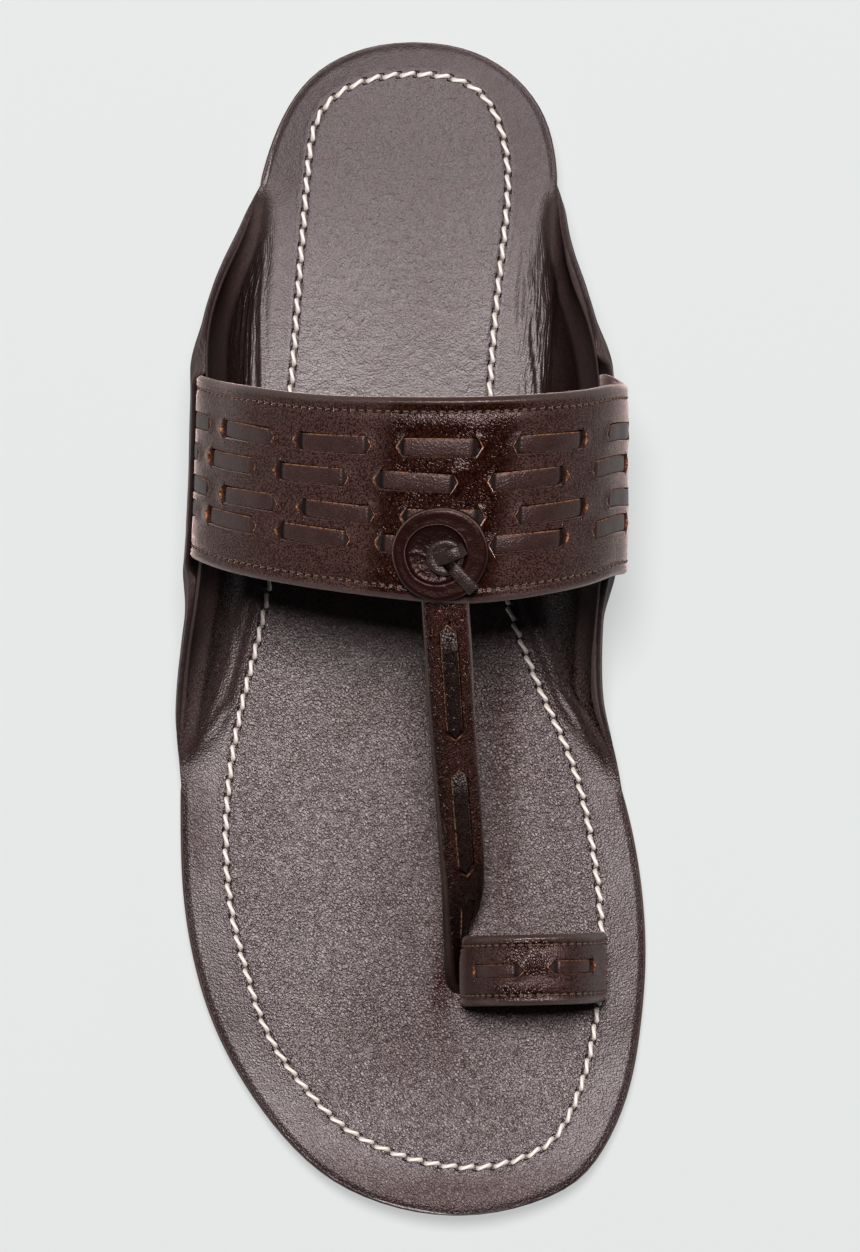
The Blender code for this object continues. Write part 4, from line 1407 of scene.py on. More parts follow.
def sheet_rows(last: Last, middle: float, cap: int) -> Array:
    """The stations of a sheet's rows.

    Args:
        last: The last.
        middle: The spacing between the caps, in millimetres.
        cap: How many rows go round the heel and round the toe.

    Returns:
        The stations, from the heel to the toe.
    """
    heel_end, toe_end = 0.10, 0.88
    count = int(round((toe_end - heel_end) * last.length / MM / middle))
    between = np.linspace(heel_end, toe_end, count + 1)[1:-1]
    heel = cap_stations(0.0, heel_end, cap)
    toe = cap_stations(1.0, toe_end, cap)
    return np.unique(np.concatenate([heel, [heel_end], between, [toe_end], toe]).round(7))


def outline_distance(last: Last, points: Array) -> Array:
    """How far inside the outline places lie, in millimetres, seen from above."""
    gaps = nearest(points.reshape(-1, 3)[:, :2], last.outline(1201)[:-1])[1]
    return gaps.reshape(points.shape[:-1]) / MM


def sheet_loops(top: Array, under: Array, inset: float, bottom_step: int) -> tuple[Array, int]:
    """Closes a sheet's top face with rounded rims and a bottom face.

    Args:
        top: The top face's rows of points.
        under: The bottom face's rows of points, as many as the top face's.
        inset: How far the rims' corners lie inside the edge, as a share of the thickness.
        bottom_step: Every how many columns the bottom face has a point.

    Returns:
        A loop of points for each row, and how many of them are on the top face.
    """
    columns = top.shape[1]
    kept = np.unique(np.concatenate([np.arange(0, columns, bottom_step), [columns - 1]]))
    medial = 0.5 * (top[:, -1] + under[:, -1])
    lateral = 0.5 * (top[:, 0] + under[:, 0])
    top, under = top.copy(), under.copy()
    for column, inward in ((0, 1), (-1, -2)):
        thick = np.linalg.norm(top[:, column] - under[:, column], axis=1, keepdims=True)
        for face, other in ((top, under), (under, top)):
            down = (other[:, column] - face[:, column]) * inset * 0.8
            along = face[:, inward] - face[:, column]
            reach = np.minimum(np.linalg.norm(along, axis=1, keepdims=True) * 0.6, thick * inset)
            face[:, column] = face[:, column] + down + unit(along) * reach
    return np.concatenate([top, medial[:, None], under[:, kept[::-1]], lateral[:, None]], axis=1), columns


@dataclass(frozen=True)
class Insole:
    """The insole: a sheet with creases, a seam groove and a rolled border, whose wings carry a strap."""

    last: Last
    seam: SoleSeam
    columns: int = 236
    row_step: float = 0.92
    focus: float = 1.4
    cap_rows: int = 16
    crease_reach: float = 4.0
    crease_swell: float = 0.55
    groove_depth: float = 0.30
    groove_width: float = 0.75
    border_drop: float = 0.28
    border_reach: float = 1.5
    wing_drop: float = 0.5
    wing_rim: float = 1.3
    outer_fall: float = 0.085
    wing_span: float = 24.0
    lateral_draw: Draw = Draw((3.6, 5.6), 0.7, 0.20, 4.0, 0.70)
    medial_draw: Draw = Draw((-2.8, -0.5), 1.0, 0.12, 5.5, 1.12)
    front_ease: float = 1.1
    wave: float = 0.10
    far: float = 50.0
    seed: int = 11

    @property
    def draws(self) -> dict[Side, Draw]:
        """How the leather is drawn on each side."""
        return {Side.LATERAL: self.lateral_draw, Side.MEDIAL: self.medial_draw}

    def creased(self, sheet: Sheet) -> Array:
        """The height that the creases add at each point, in millimetres."""
        height = np.zeros(sheet.points.shape[:2])
        flat = sheet.points.reshape(-1, 3) / MM
        for crease in CREASES:
            course = spline(crease.course, 61)
            z = self.last.height_at(course[:, 0] * MM, course[:, 1] * MM) / MM
            line = np.column_stack([course, z])
            low, high = line.min(axis=0) - self.crease_reach, line.max(axis=0) + self.crease_reach
            near = np.flatnonzero(((flat > low) & (flat < high)).all(axis=1))
            number, gap = nearest(flat[near], line)
            share = number / (len(line) - 1)
            fade = smoothstep(share, 0.0, 0.22) * (1.0 - smoothstep(share, 0.80, 1.0))
            fold = self.crease_swell * bell(gap - 1.7 * crease.width, crease.width) - bell(gap, crease.width)
            height.flat[near] += crease.depth * fade * fold
        return height

    def wings(self, rows: Array, x: Array) -> Iterator[tuple[Side, Array, Array]]:
        """Measures points against each wing in turn.

        Args:
            rows: The rows' stations.
            x: The points' X in millimetres.

        Yields:
            The side, how far past the wing's fold each point lies, and the wing's rise, in millimetres.
        """
        for side in Side:
            fold, _, rise = self.last.wing(rows, side)
            yield side, (x - fold[:, None] / MM) * side.value, rise[:, None] / MM

    def folding(self, sheet: Sheet, rows: Array) -> dict[str, Array]:
        """Measures how the leather is drawn at the wings.

        Args:
            sheet: The top face.
            rows: The rows' stations.

        Returns:
            The distance out from each wing's fold and the place along Y, in millimetres, and how folded the
            leather is, by the names that the finish reads them by.
        """
        x, y = sheet.points[..., 0] / MM, sheet.points[..., 1] / MM
        out = np.abs(sheet.climb) ** 0.8 * self.wing_span
        front = smoothstep(y, 8.0, 30.0)
        folded = np.zeros_like(out)
        for side, past, rise in self.wings(rows, x):
            mine = x * side.value > 0.0
            out = np.where(mine & (past < 0.0), past, out)
            draw = self.draws[side]
            start = draw.start[0]
            near = smoothstep(out, *draw.start) * (1.0 - smoothstep(out, start + 9.0, start + 17.0))
            amount = near * draw.strength * smoothstep(rise, 2.5, 11.0)
            folded = np.where(mine, amount * (front + draw.ahead * (1.0 - front)), folded)
        return {"wing_out": out, "wing_down": y, "folded": folded}

    def stepped(self, rows: Array, x: Array) -> Array:
        """The height that the turned-up leather gains just past the folds of the wings."""
        height = np.zeros_like(x)
        for side, past, rise in self.wings(rows, x):
            start = self.draws[side].step_start
            gain = smoothstep(past, start, start + 3.2) * (1.0 - smoothstep(past, start + 4.0, start + 12.0))
            height += self.draws[side].step * smoothstep(rise, 4.0, 16.0) * gain
        return height

    def eased(self, rows: Array, x: Array) -> Array:
        """The height that makes the folds of the wings wide and soft ahead of the instep strap."""
        height = np.zeros_like(x)
        for _, past, rise in self.wings(rows, x):
            gain = smoothstep(past, -9.0, 5.0) * (1.0 - smoothstep(past, 6.0, 18.0))
            height += self.front_ease * smoothstep(rise, 0.5, 9.0) * gain
        return height

    def painted_shading(self, rows: Array, x: Array, y: Array) -> Array:
        """How much painted shade darkens the leather: broad shade on the ball and the waist, a painted
        lighter patch on the lateral ball, painted shadows beside the toe strap and at its foot, and shade on
        the lateral border ahead of the wing.
        """
        ball = smoothstep(rows, 0.50, 0.58) * (1.0 - smoothstep(rows, 0.84, 0.93))
        waist = smoothstep(rows, 0.12, 0.24) * (1.0 - smoothstep(rows, 0.40, 0.50))
        pale_and_shaded = ball[:, None] * (bell(x - 4.0, 20.0) - 0.8 * bell(x + 28.0, 9.0))
        pale_and_shaded += 1.5 * waist[:, None] * bell(x - 2.0, 17.0)
        # Painted shadows beside the toe strap and at its foot.
        course = smoothstep(y, -78.0, -58.0) * (1.0 - smoothstep(y, -12.0, 2.0))
        pale_and_shaded += 2.4 * course * bell(x - 21.5, 4.6)
        pale_and_shaded += 3.6 * bell(x - 7.0, 2.8) * bell(y + 83.0, 11.0)
        return pale_and_shaded + 2.6 * bell(x + 51.0, 5.0) * bell(y + 47.0, 12.0)

    def beside(self, rows: Array, x: Array) -> Array:
        """How much of the outer fall there is at places of rows, none where a wing rises."""
        behind = 1.0 - smoothstep(rows, 0.18, 0.34)[:, None]
        lean = smoothstep(np.abs(x), 4.0, 16.0) * behind
        share = {Side.LATERAL: 1.0 + 0.5 * lean, Side.MEDIAL: 1.0 - 0.8 * lean}
        for side, _, rise in self.wings(rows, x):
            share[side] = share[side] * (1.0 - smoothstep(rise, 0.3, 4.0))
        return np.where(x < 0.0, share[Side.LATERAL], share[Side.MEDIAL])

    def relief(self, sheet: Sheet, rows: Array, off: Array, border: Array, wing: Array) -> Array:
        """Adds up what shapes the top face.

        Args:
            sheet: The top face.
            rows: The rows' stations.
            off: How far inside the seam each point lies, in millimetres.
            border: How far inside the edge it lies.
            wing: How far it belongs to a wing, from 0 to 1.

        Returns:
            The height to add at each point, in millimetres.
        """
        x, y = sheet.points[..., 0] / MM, sheet.points[..., 1] / MM
        height = self.creased(sheet)
        height -= self.groove_depth * bell(off, self.groove_width)
        round_off = 1.0 - smoothstep(border, 0.0, self.border_reach + self.wing_rim * wing)
        height -= (self.border_drop + self.wing_drop * wing) * round_off
        height -= self.outer_fall * self.beside(rows, x) * np.maximum(-off - 0.6, 0.0)
        ahead = 1.0 - smoothstep(y, 5.0, 30.0)
        height += self.stepped(rows, x) * (1.0 - ahead)
        height += self.eased(rows, x) * ahead * smoothstep(-off, 0.5, 4.0)
        uneven = Unevenness(self.seed)
        height += self.wave * uneven.layers(x / 17.0, y / 23.0, 3) * (1.0 - wing)
        height += self.wave * uneven.layers(x / 6.0, y / 22.0, 2) * wing
        return height

    def build(self, finish: Material) -> Object:
        """Makes the sheet."""
        rows = sheet_rows(self.last, self.row_step, self.cap_rows)
        sheet = self.last.sheet(rows, self.columns, focus=self.focus)
        off, along = self.seam.measure(sheet.points)
        border = np.minimum(outline_distance(self.last, sheet.points), sheet.border)
        rise = (sheet.points[..., 2] - (self.last.seat_height + self.last.lift(rows))[:, None]) / MM
        wing = smoothstep(np.abs(sheet.climb), 0.0, 0.25) * smoothstep(sheet.points[..., 2], 0.0, MM)
        wing = wing * smoothstep(rise, 0.3, 3.0)
        height = self.relief(sheet, rows, off, border, wing)
        top = sheet.points + sheet.normals * height[..., None] * MM
        under = sheet.points - sheet.normals * self.last.insole_thick
        loops, count = sheet_loops(top, under, 0.30, 6)
        faces = {
            "seam_off": off,
            "seam_along": along,
            "border": border,
            "wing": wing,
            # tall, middle, tip and heel tell the finish where to paint shade.
            "tall": wing * smoothstep(rise, 2.0, 13.0),
            "middle": self.painted_shading(rows, sheet.points[..., 0] / MM, sheet.points[..., 1] / MM),
            "tip": smoothstep(rows, 0.93, 0.985)[:, None],
            "forefoot": smoothstep(rows, 0.36, 0.52)[:, None],
            "heel": 1.0 - smoothstep(rows, 0.08, 0.34)[:, None],
            **self.folding(sheet, rows),
        }
        marks = {name: np.zeros(loops.shape[:2]) for name in faces}
        marks["seam_off"] += self.far
        for name, values in faces.items():
            marks[name][:, :count] = values
        draft = Draft()
        draft.loft(loops, **marks)
        return fit(draft.piece("insole_sheet", finish, sharp=60.0), "insole_leather", "insole")


@dataclass(frozen=True)
class Midsole:
    """The sheet under the insole, which shows on the outer side of the wings and along the border."""

    last: Last
    columns: int = 96
    row_step: float = 1.4
    cap_rows: int = 14
    pocket_margin: float = 0.012
    rim_gap: float = 0.06 * MM
    ripple: float = 0.12
    seed: int = 23

    def build(self, finish: Material) -> Object:
        """Makes the sheet."""
        last = self.last
        rows = sheet_rows(last, self.row_step, self.cap_rows)
        top = last.sheet(rows, self.columns, last.insole_thick + last.gap)
        x, y = top.points[..., 0] / MM, top.points[..., 1] / MM
        rise = smoothstep(np.abs(top.climb), 0.1, 0.5)
        ripple = self.ripple * Unevenness(self.seed).layers(x / 5.0, y / 12.0, 3) * rise
        under = top.points - top.normals * (last.midsole_thick + ripple * MM)[..., None]
        rear, front = last.pocket
        margin = self.pocket_margin
        open_here = smoothstep(rows, rear - margin, rear) * (1.0 - smoothstep(rows, front, front + margin))
        shut_here = smoothstep(rows, last.root_lateral[0] - 0.002, last.root_lateral[0] + 0.004)
        ahead = 1.0 - smoothstep(rows, last.root_medial[1] + 0.002, last.root_medial[1] + 0.010)
        lateral = top.climb < 0.0
        opened = np.where(lateral, (open_here * shut_here)[:, None], (open_here * ahead)[:, None])
        pocket = last.pocket_extra(rows, top.climb) * (1.0 - opened)
        close = pocket + (last.gap - self.rim_gap) * rise * (1.0 - opened)
        upper = top.points + top.normals * close[..., None]
        loops, count = sheet_loops(upper, under, 0.36, 1)
        cut = np.zeros(loops.shape[:2])
        cut[:, [0, count - 1, count, count + 1, -2, -1]] = 1.0
        draft = Draft()
        draft.loft(loops, cut=cut)
        return fit(draft.piece("midsole_sheet", finish, sharp=60.0), "midsole_leather", "midsole")


@dataclass(frozen=True)
class Outsole:
    """The outsole with its low heel, rounded along its edges."""

    last: Last
    breast: tuple[float, float] = (0.280, 0.282)
    corner: float = 0.7
    across_step: float = 2.2
    row_step: float = 2.0
    cap_rows: int = 16
    waist: float = 0.25
    breast_wear: float = 0.35

    def side_edge(self, stations: Array, side: Side) -> Array:
        """The X of an edge: where the sheets leave the sole, and a margin."""
        shares = np.linspace(0.0, 1.0, 51)
        fold, reach, rise = self.last.wing(stations, side)
        edge = np.empty_like(fold)
        for i in range(len(stations)):
            across, up = self.last.wing_curve(shares, reach[i], rise[i])
            lifts = rise[i] > self.last.contact_rise
            edge[i] = fold[i] + (np.interp(self.last.contact_rise, up, across) if lifts else reach[i])
        return edge + side.value * self.last.outsole_margin

    def build(self, finish: Material) -> Object:
        """Makes the outsole."""
        last = self.last
        rear, front = self.breast
        clear, bends = 0.004, (0.0035, 0.0012, 0.0)
        stations = sheet_rows(last, self.row_step, self.cap_rows)
        stations = stations[(stations < rear - clear) | (stations > front + clear)]
        added = [rear - bend for bend in bends] + [front + bend for bend in bends]
        stations = np.sort(np.concatenate([stations, added]))
        lateral, medial = self.side_edge(stations, Side.LATERAL), self.side_edge(stations, Side.MEDIAL)
        raised = last.lift(stations)
        heel = stations <= rear + 1e-6
        ground = np.where(heel, self.breast_wear * MM * smoothstep(stations, rear - clear, rear), raised)
        upper = raised + last.outsole_thick
        y = last.place(stations) * (1.0 + 2.0 * last.outsole_margin / last.length)
        size = int(round(last.ball_width / MM / self.across_step))
        spread = np.linspace(0.0, 1.0, size)
        turn = np.linspace(0.0, 0.5 * math.pi, 5)
        out, up = np.sin(turn), 1.0 - np.cos(turn)
        loops, cuts = [], []
        for i in range(len(stations)):
            half = 0.5 * (medial[i] - lateral[i])
            corner = min(self.corner * MM, 0.45 * half)
            tall = upper[i] - ground[i]
            pull = min(self.waist * MM, 0.2 * half)
            top_x = lateral[i] + corner + spread * (2.0 * (half - corner))
            side_z = ground[i] + corner + (tall - 2.0 * corner) * np.array([0.8, 0.5, 0.2])
            bulge = pull * np.array([0.55, 1.0, 0.55])
            right = list(zip(medial[i] - corner + corner * out[1:], upper[i] - corner * up[1:]))
            right += list(zip(medial[i] - bulge, side_z))
            right += list(zip(medial[i] - corner * up[:-1], ground[i] + corner * (1 - out[:-1])))
            left = [(lateral[i] + medial[i] - x, z) for x, z in reversed(right)]
            top = [(x, upper[i]) for x in top_x]
            low = [(x, ground[i]) for x in top_x[::-1]]
            ring = np.array(top + right + low + left)
            loops.append(np.column_stack([ring[:, 0], np.full(len(ring), y[i]), ring[:, 1]]))
            cuts.append([0.0] * size + [1.0] * len(right) + [0.0] * size + [1.0] * len(left))
        draft = Draft()
        draft.loft(np.array(loops), cut=np.array(cuts))
        return fit(draft.piece("outsole_slab", finish, sharp=50.0), "outsole_leather", "outsole")


# -------------------- Laced straps --------------------


class Lace(NamedTuple):
    """A stretch of lace on the outer side of a band.

    Attributes:
        across: Its middle across the band.
        start: Its first slit along the band.
        end: Its second slit.
        lean: How much further across the band it ends than it starts.
        first_point: How pointed its first slit is, from 0 to 1.
        last_point: How pointed its second slit is.
        shine: How glossy it is, and how strong its painted highlight is at its first slit.
        spear: How far its ends fill the slits' points, from 0 to 1.
    """

    across: float
    start: float
    end: float
    lean: float = 0.0
    first_point: float = 1.0
    last_point: float = 1.0
    shine: float = 0.0
    spear: float = 0.0


class Swell(NamedTuple):
    """A soft rise of a band's leather: its place along and across, its reach both ways and its height."""

    along: float
    across: float
    reach_along: float
    reach_across: float
    height: float


def widened(values: Array, rest: Array | float, like: Array) -> Array:
    """Adds as many columns after those of a grid of values as there are in like."""
    return np.concatenate([values, np.broadcast_to(rest, (len(values), len(like)))], axis=1)


class Face:
    """A band's outer face laid flat, so that a place on it is millimetres along and across it."""

    def __init__(self, grid: Array, origin: float = 0.5) -> None:
        """Measures a face.

        Args:
            grid: Its points, along and then across.
            origin: Where along it is 0, as a share of its columns.
        """
        self.grid = grid
        self.normals = grid_normals(grid)
        middle = arc_lengths(grid[:, grid.shape[1] // 2]) / MM
        self.along = middle - middle[int(round(origin * (len(middle) - 1)))]
        widths = np.linalg.norm(np.diff(grid, axis=1), axis=2).sum(axis=1) / MM
        self.width = float(widths[len(widths) // 2])

    def at(self, along: Array, across: Array, height: Array | float = 0.0) -> Array:
        """Finds places on the face.

        Args:
            along: Millimetres along it.
            across: Millimetres across it, from its first edge.
            height: Millimetres above it.

        Returns:
            The places, in metres.
        """
        point, normal = self.sample(along, across)
        return point + normal * np.asarray(height, float)[..., None] * MM

    def sample(self, along: Array, across: Array) -> tuple[Array, Array]:
        """Finds points on the face and their normals."""
        along, across = np.broadcast_arrays(np.asarray(along, float), np.asarray(across, float))
        columns, rows = self.grid.shape[:2]
        column = np.clip(np.interp(along, self.along, np.arange(columns)), 0, columns - 1.001)
        row = np.clip(across / self.width * (rows - 1), 0, rows - 1.001)
        i, j = column.astype(int), row.astype(int)
        s, t = (column - i)[..., None], (row - j)[..., None]
        found = []
        for values in (self.grid, self.normals):
            low = values[i, j] * (1 - s) + values[i + 1, j] * s
            high = values[i, j + 1] * (1 - s) + values[i + 1, j + 1] * s
            found.append(low * (1 - t) + high * t)
        return found[0], unit(found[1])


@dataclass(frozen=True)
class LacedBand:
    """A leather band with laces woven through chevron slits and a seam along each edge.

    A slit has a wall, a brim and a raised lip, and its lace lies in a bed that opens up under the lip.
    A lace dives at one slit and tucks in at the other, by distances past the slit and heights.
    The thread's sizes are its radius, its height over the leather and the depth of its ends.
    """

    last: Last
    strap_thick: float = 2.4
    woven: tuple[Lace, ...] = ()
    lace_width: float = 4.2
    lace_thick: float = 1.0
    lace_wobble: float = 0.10
    lace_squareness: tuple[float, float] = (0.42, 0.55)
    lace_flank: tuple[float, ...] = (1.0, 1.0, 0.30, 0.0, 0.0, 0.0, 0.15, 0.9, 1.0)
    lace_back: float = 0.6
    lace_crown: tuple[float, float] = (3.8, 0.03)
    lace_seed: int = 5
    slit_half: float = 3.0
    slit_point: float = 1.7
    point_reach: float = 6.0
    wall: float = 0.08
    wall_raw: float = 0.70
    brim: float = 0.14
    bed: float = 1.00
    bed_play: tuple[float, float] = (0.06, 0.20)
    opening: float = 1.25
    opening_reach: tuple[float, float] = (0.4, 1.8)
    groove_end: float = 0.22
    groove_depth: float = 0.6
    lip: float = 0.24
    lip_reach: float = 1.7
    seam_in: float = 3.2
    seam_dip: float = 0.26
    seam_dip_width: float = 1.25
    seam_cut: float = 0.16
    seam_cut_width: float = 0.38
    seam_pitch: float = 2.05
    stitch_gap: float = 0.45
    stitch_slant: float = 0.10
    thread: tuple[float, float, float] = (0.26, -0.05, 0.85)
    edge_drop: float = 0.85
    edge_reach: float = 1.55
    edge_power: float = 2.2
    edge_crease: float = 0.14
    rim_reach: tuple[float, float] = (1.1, 1.8)
    border: float = 0.12
    rim_across: tuple[float, ...] = (0.0, 0.0, 0.30)
    rim_share: tuple[float, ...] = (0.25, 0.70, 0.95)
    inner_in: float = 1.2
    inner_columns: int = 8
    step_along: float = 1.0
    step_across: float = 0.85
    far: float = 9.0
    crisp: float = 38.0
    seed: int = 0
    lace_dive: tuple[tuple[float, float], ...] = (
        (-2.3, -1.15),
        (-1.2, -1.05),
        (-0.3, -0.85),
        (0.25, -0.45),
        (0.75, -0.14),
        (1.5, -0.02),
    )
    lace_tuck: tuple[tuple[float, float], ...] = (
        (-2.3, -1.15),
        (-1.2, -1.00),
        (-0.4, -0.50),
        (0.05, -0.10),
        (0.75, -0.03),
        (1.5, 0.0),
    )

    def face(self) -> Face:
        """The outer face."""
        raise NotImplementedError

    def gloss(self, along: Array, across: Array) -> Array:
        """How glossy and crinkled the leather is."""
        raise NotImplementedError

    def folds(self, along: Array, across: Array) -> Array:
        """The height that wrinkles add, in millimetres."""
        raise NotImplementedError

    def soil(self, along: Array, across: Array) -> Array:
        """How much painted shade blackens the leather."""
        return np.zeros_like(along)

    def laces(self) -> tuple[Lace, ...]:
        """The laces' visible stretches."""
        return self.woven

    def thick(self, face: Face, along: Array) -> Array:
        """The band's thickness in millimetres at places along it."""
        return np.full_like(along, self.strap_thick)

    def chevrons(self, along: Array, across: Array) -> Array:
        """How far the slits' points push the band's lines along it."""
        shift = np.zeros_like(along)
        for lace in self.laces():
            point = np.clip(1.0 - np.abs(across - lace.across) / self.slit_half, 0.0, 1.0)
            for where, direction in ((lace.start, -lace.first_point), (lace.end, lace.last_point)):
                near = 1.0 - smoothstep(np.abs(along - where), 0.0, self.point_reach)
                shift = shift + direction * self.slit_point * point * near
        return shift

    def dents(self, along: Array, across: Array) -> tuple[Array, Array]:
        """The beds, openings and lips of the laces.

        Args:
            along: Places along the band before the slits' points push them.
            across: Places across it.

        Returns:
            Their height in millimetres, and how raw the leather is.
        """
        height, raw = np.zeros_like(along), np.zeros_like(along)
        for lace in self.laces():
            beside = np.abs(across - lace.across)
            inside = np.minimum(along - lace.start, lace.end - along)
            start, end = (0.5 * self.lace_width + play for play in self.bed_play)
            band = 1.0 - smoothstep(beside, start, end)
            taper = np.sqrt(np.clip(1.0 - (beside / self.slit_half) ** 2, 0.0, 1.0))
            deep = self.bed + (self.opening - self.bed) * (1.0 - smoothstep(inside, *self.opening_reach))
            height -= np.where(inside >= 0.9 * self.wall, deep * band, 0.0)
            groove = (inside >= 0.9 * self.wall) & (inside < self.groove_end)
            height -= np.where(groove, self.groove_depth * taper * (1.0 - band), 0.0)
            rise = self.lip * taper * bell(np.maximum(-inside, 0.0), self.lip_reach)
            height += np.where(inside < 0.5 * self.wall, rise, 0.0)
            brim = np.where((inside > -1.1 * self.brim) & (inside < 0.1 * self.wall), 1.0, 0.0)
            foot = np.where(np.abs(inside - self.wall) < 0.1 * self.wall, self.wall_raw, 0.0)
            raw = np.maximum(raw, (brim + foot) * taper)
        return height, raw

    def lines_along(self, low: float, high: float) -> Array:
        """The band's grid lines along it, close together at the slits."""
        steps = (-3.0, -1.7, -0.9, -0.4, -self.brim, 0.0, self.wall, 0.24, 0.5, 1.1, 1.8)
        places = [lace.start + step for lace in self.laces() for step in steps]
        places += [lace.end - step for lace in self.laces() for step in steps]
        return merged_lines(low, high, self.step_along, places, 0.3)

    def lines_across(self, width: float) -> Array:
        """The band's grid lines across it, close together beside the laces and at the edges."""
        half = 0.5 * self.lace_width
        steps = (0.0, 1.2, half + 0.05, half + 0.21, 0.5 * (half + self.slit_half), self.slit_half + 0.05)
        places = [lace.across + sign * step for lace in self.laces() for step in steps for sign in (-1, 1)]
        beside_seam = [self.seam_in + step for step in (-0.3, 0.0, 0.3)]
        for distance in (0.32, 0.6, 0.95, 1.3, 1.7, 2.2, *beside_seam):
            places += [distance, width - distance]
        return merged_lines(self.border, width - self.border, self.step_across, places, 0.13)

    def worked(self, along: Array, across: Array, moved: Array, width: float) -> tuple[Array, Array]:
        """Shapes the outer face.

        Args:
            along: The grid's places along the band before the slits' points push them.
            across: Its places across the band.
            moved: Its places along the band once pushed.
            width: The band's width.

        Returns:
            The height to add at each place in millimetres, and how raw the leather is.
        """
        height, raw = self.dents(along, across)
        edge = np.minimum(across, width - across)
        height -= self.edge_drop * np.clip(1.0 - edge / self.edge_reach, 0.0, 1.0) ** self.edge_power
        height -= self.seam_cut * bell(edge - self.seam_in, self.seam_cut_width)
        height -= self.seam_dip * bell(edge - self.seam_in - 0.1, self.seam_dip_width)
        height -= self.edge_crease * bell(edge - self.edge_reach - 0.15, 0.35)
        return height + self.folds(moved, across), raw

    def leather(self, name: str, finish: Material) -> Object:
        """Makes the band: its outer face, then one rim, the inner face and the other rim."""
        face = self.face()
        width = face.width
        u, v = self.lines_along(face.along[0], face.along[-1]), self.lines_across(width)
        along, across = np.meshgrid(u, v, indexing="ij")
        moved = along + self.chevrons(along, across)
        height, raw = self.worked(along, across, moved, width)
        thick = self.thick(face, u)[:, None]
        drop = self.edge_drop * (1.0 - self.border / self.edge_reach) ** self.edge_power
        rim = np.array(self.rim_across)
        inner = np.linspace(self.inner_in, width - self.inner_in, self.inner_columns)
        rim_height = -drop - (thick - drop) * np.array(self.rim_share)
        inner_height = np.broadcast_to(-thick, (len(u), len(inner)))
        rest_across = np.concatenate([width - rim, inner[::-1], rim[::-1]])
        rest_height = np.concatenate([rim_height, inner_height, rim_height[:, ::-1]], axis=1)
        rest_rim = np.repeat([1.0, 0.0, 1.0], [len(rim), len(inner), len(rim)])
        all_along, all_across = widened(moved, u[:, None], rest_rim), widened(across, rest_across, rest_rim)
        edge = np.minimum(across, width - across)
        draft = Draft()
        draft.loft(
            face.at(all_along, all_across, widened(height, rest_height, rest_rim)),
            along=all_along,
            across=all_across,
            raw=widened(raw, 0.0, rest_rim),
            rim=widened(1.0 - smoothstep(edge, *self.rim_reach), rest_rim, rest_rim),
            seam=widened(np.abs(edge - self.seam_in), self.far, rest_rim),
            gloss=widened(self.gloss(moved, across), 0.0, rest_rim),
            soil=self.soil(all_along, all_across),
        )
        return fit(draft.piece(name, finish, sharp=self.crisp), "strap_leather", "upper")

    def lace_strips(self, name: str, finish: Material) -> Object:
        """Makes the laces, each of which dives under the lips of its slits."""
        face = self.face()
        draft = Draft()
        half = 0.5 * self.lace_width
        turn = np.linspace(0.0, math.pi, len(self.lace_flank))
        square_across, square_up = self.lace_squareness
        side_across = -half * np.sign(np.cos(turn)) * np.abs(np.cos(turn)) ** square_across
        side_up = 0.5 * self.lace_thick * (np.sin(turn) ** square_up - 1.0)
        back = 0.9 * half
        ring_across = np.array([*side_across, back, 0.0, -back])
        ring_up = np.array([*side_up, *[-self.lace_thick] * 3])
        ring_side = np.array([*self.lace_flank, *[self.lace_back] * 3])
        crown_in, crown_up = self.lace_crown
        uneven = Unevenness(self.lace_seed)
        for number, lace in enumerate(self.laces()):
            length = lace.end - lace.start
            keys = [self.lace_dive, self.lace_tuck]
            if abs(lace.start) < abs(lace.end):
                keys.reverse()
            crown = []
            if length > 2.0 * crown_in + 0.6:
                crown = [(crown_in, crown_up), (length - crown_in, crown_up)]
            route = [*keys[0], *crown, *((length - along, up) for along, up in reversed(keys[1]))]
            line = spline(route, 61)
            along = lace.start + line[:, 0]
            share = line[:, 0] / length
            middle = lace.across + lace.lean * (share - 0.5)
            wobble = uneven.at(along / 4.0 + 9.0 * number, np.full_like(along, 0.7 * number))
            point = 1.0 - np.abs(ring_across)[None] / self.slit_half
            ahead = 1.0 - smoothstep(share, 0.0, 0.35) - smoothstep(share, 0.65, 1.0)
            ahead = lace.spear * self.slit_point * ahead
            loops = face.at(
                along[:, None] - ahead[:, None] * point,
                middle[:, None] + ring_across[None] * (1.0 - 0.06 * np.abs(2 * share - 1) ** 3)[:, None],
                (line[:, 1] + self.lace_wobble * wobble)[:, None] + ring_up[None],
            )
            # deep marks where painted shade goes under the lips, tip where the painted highlight goes near
            # the first slit.
            deep = smoothstep(-line[:, 1:], 0.05, 0.25)
            tip = lace.shine * (1.0 - smoothstep(line[:, :1], 1.0, 5.5))
            draft.loft(loops, side=ring_side, shine=lace.shine, deep=deep, tip=tip)
        return fit(draft.piece(name, finish, sharp=70.0), "strap_leather")

    def seam_stitches(self, name: str, finish: Material, low: float, high: float) -> Object:
        """Makes the two rows of stitches between two places along the band."""
        face, pitch = self.face(), self.seam_pitch
        draft = Draft()
        numbers = np.arange(math.ceil(low / pitch), math.floor(high / pitch))
        for row in (self.seam_in, face.width - self.seam_in):
            start = face.at(numbers * pitch + self.stitch_gap, row - self.stitch_slant, -self.seam_dip)
            end = face.at((numbers + 1) * pitch - self.stitch_gap, row + self.stitch_slant, -self.seam_dip)
            up = face.sample((numbers + 0.5) * pitch, row)[1]
            stitches(draft, start, end, up, *(size * MM for size in self.thread), rings=9, sides=8)
        return fit(draft.piece(name, finish), "strap_leather")


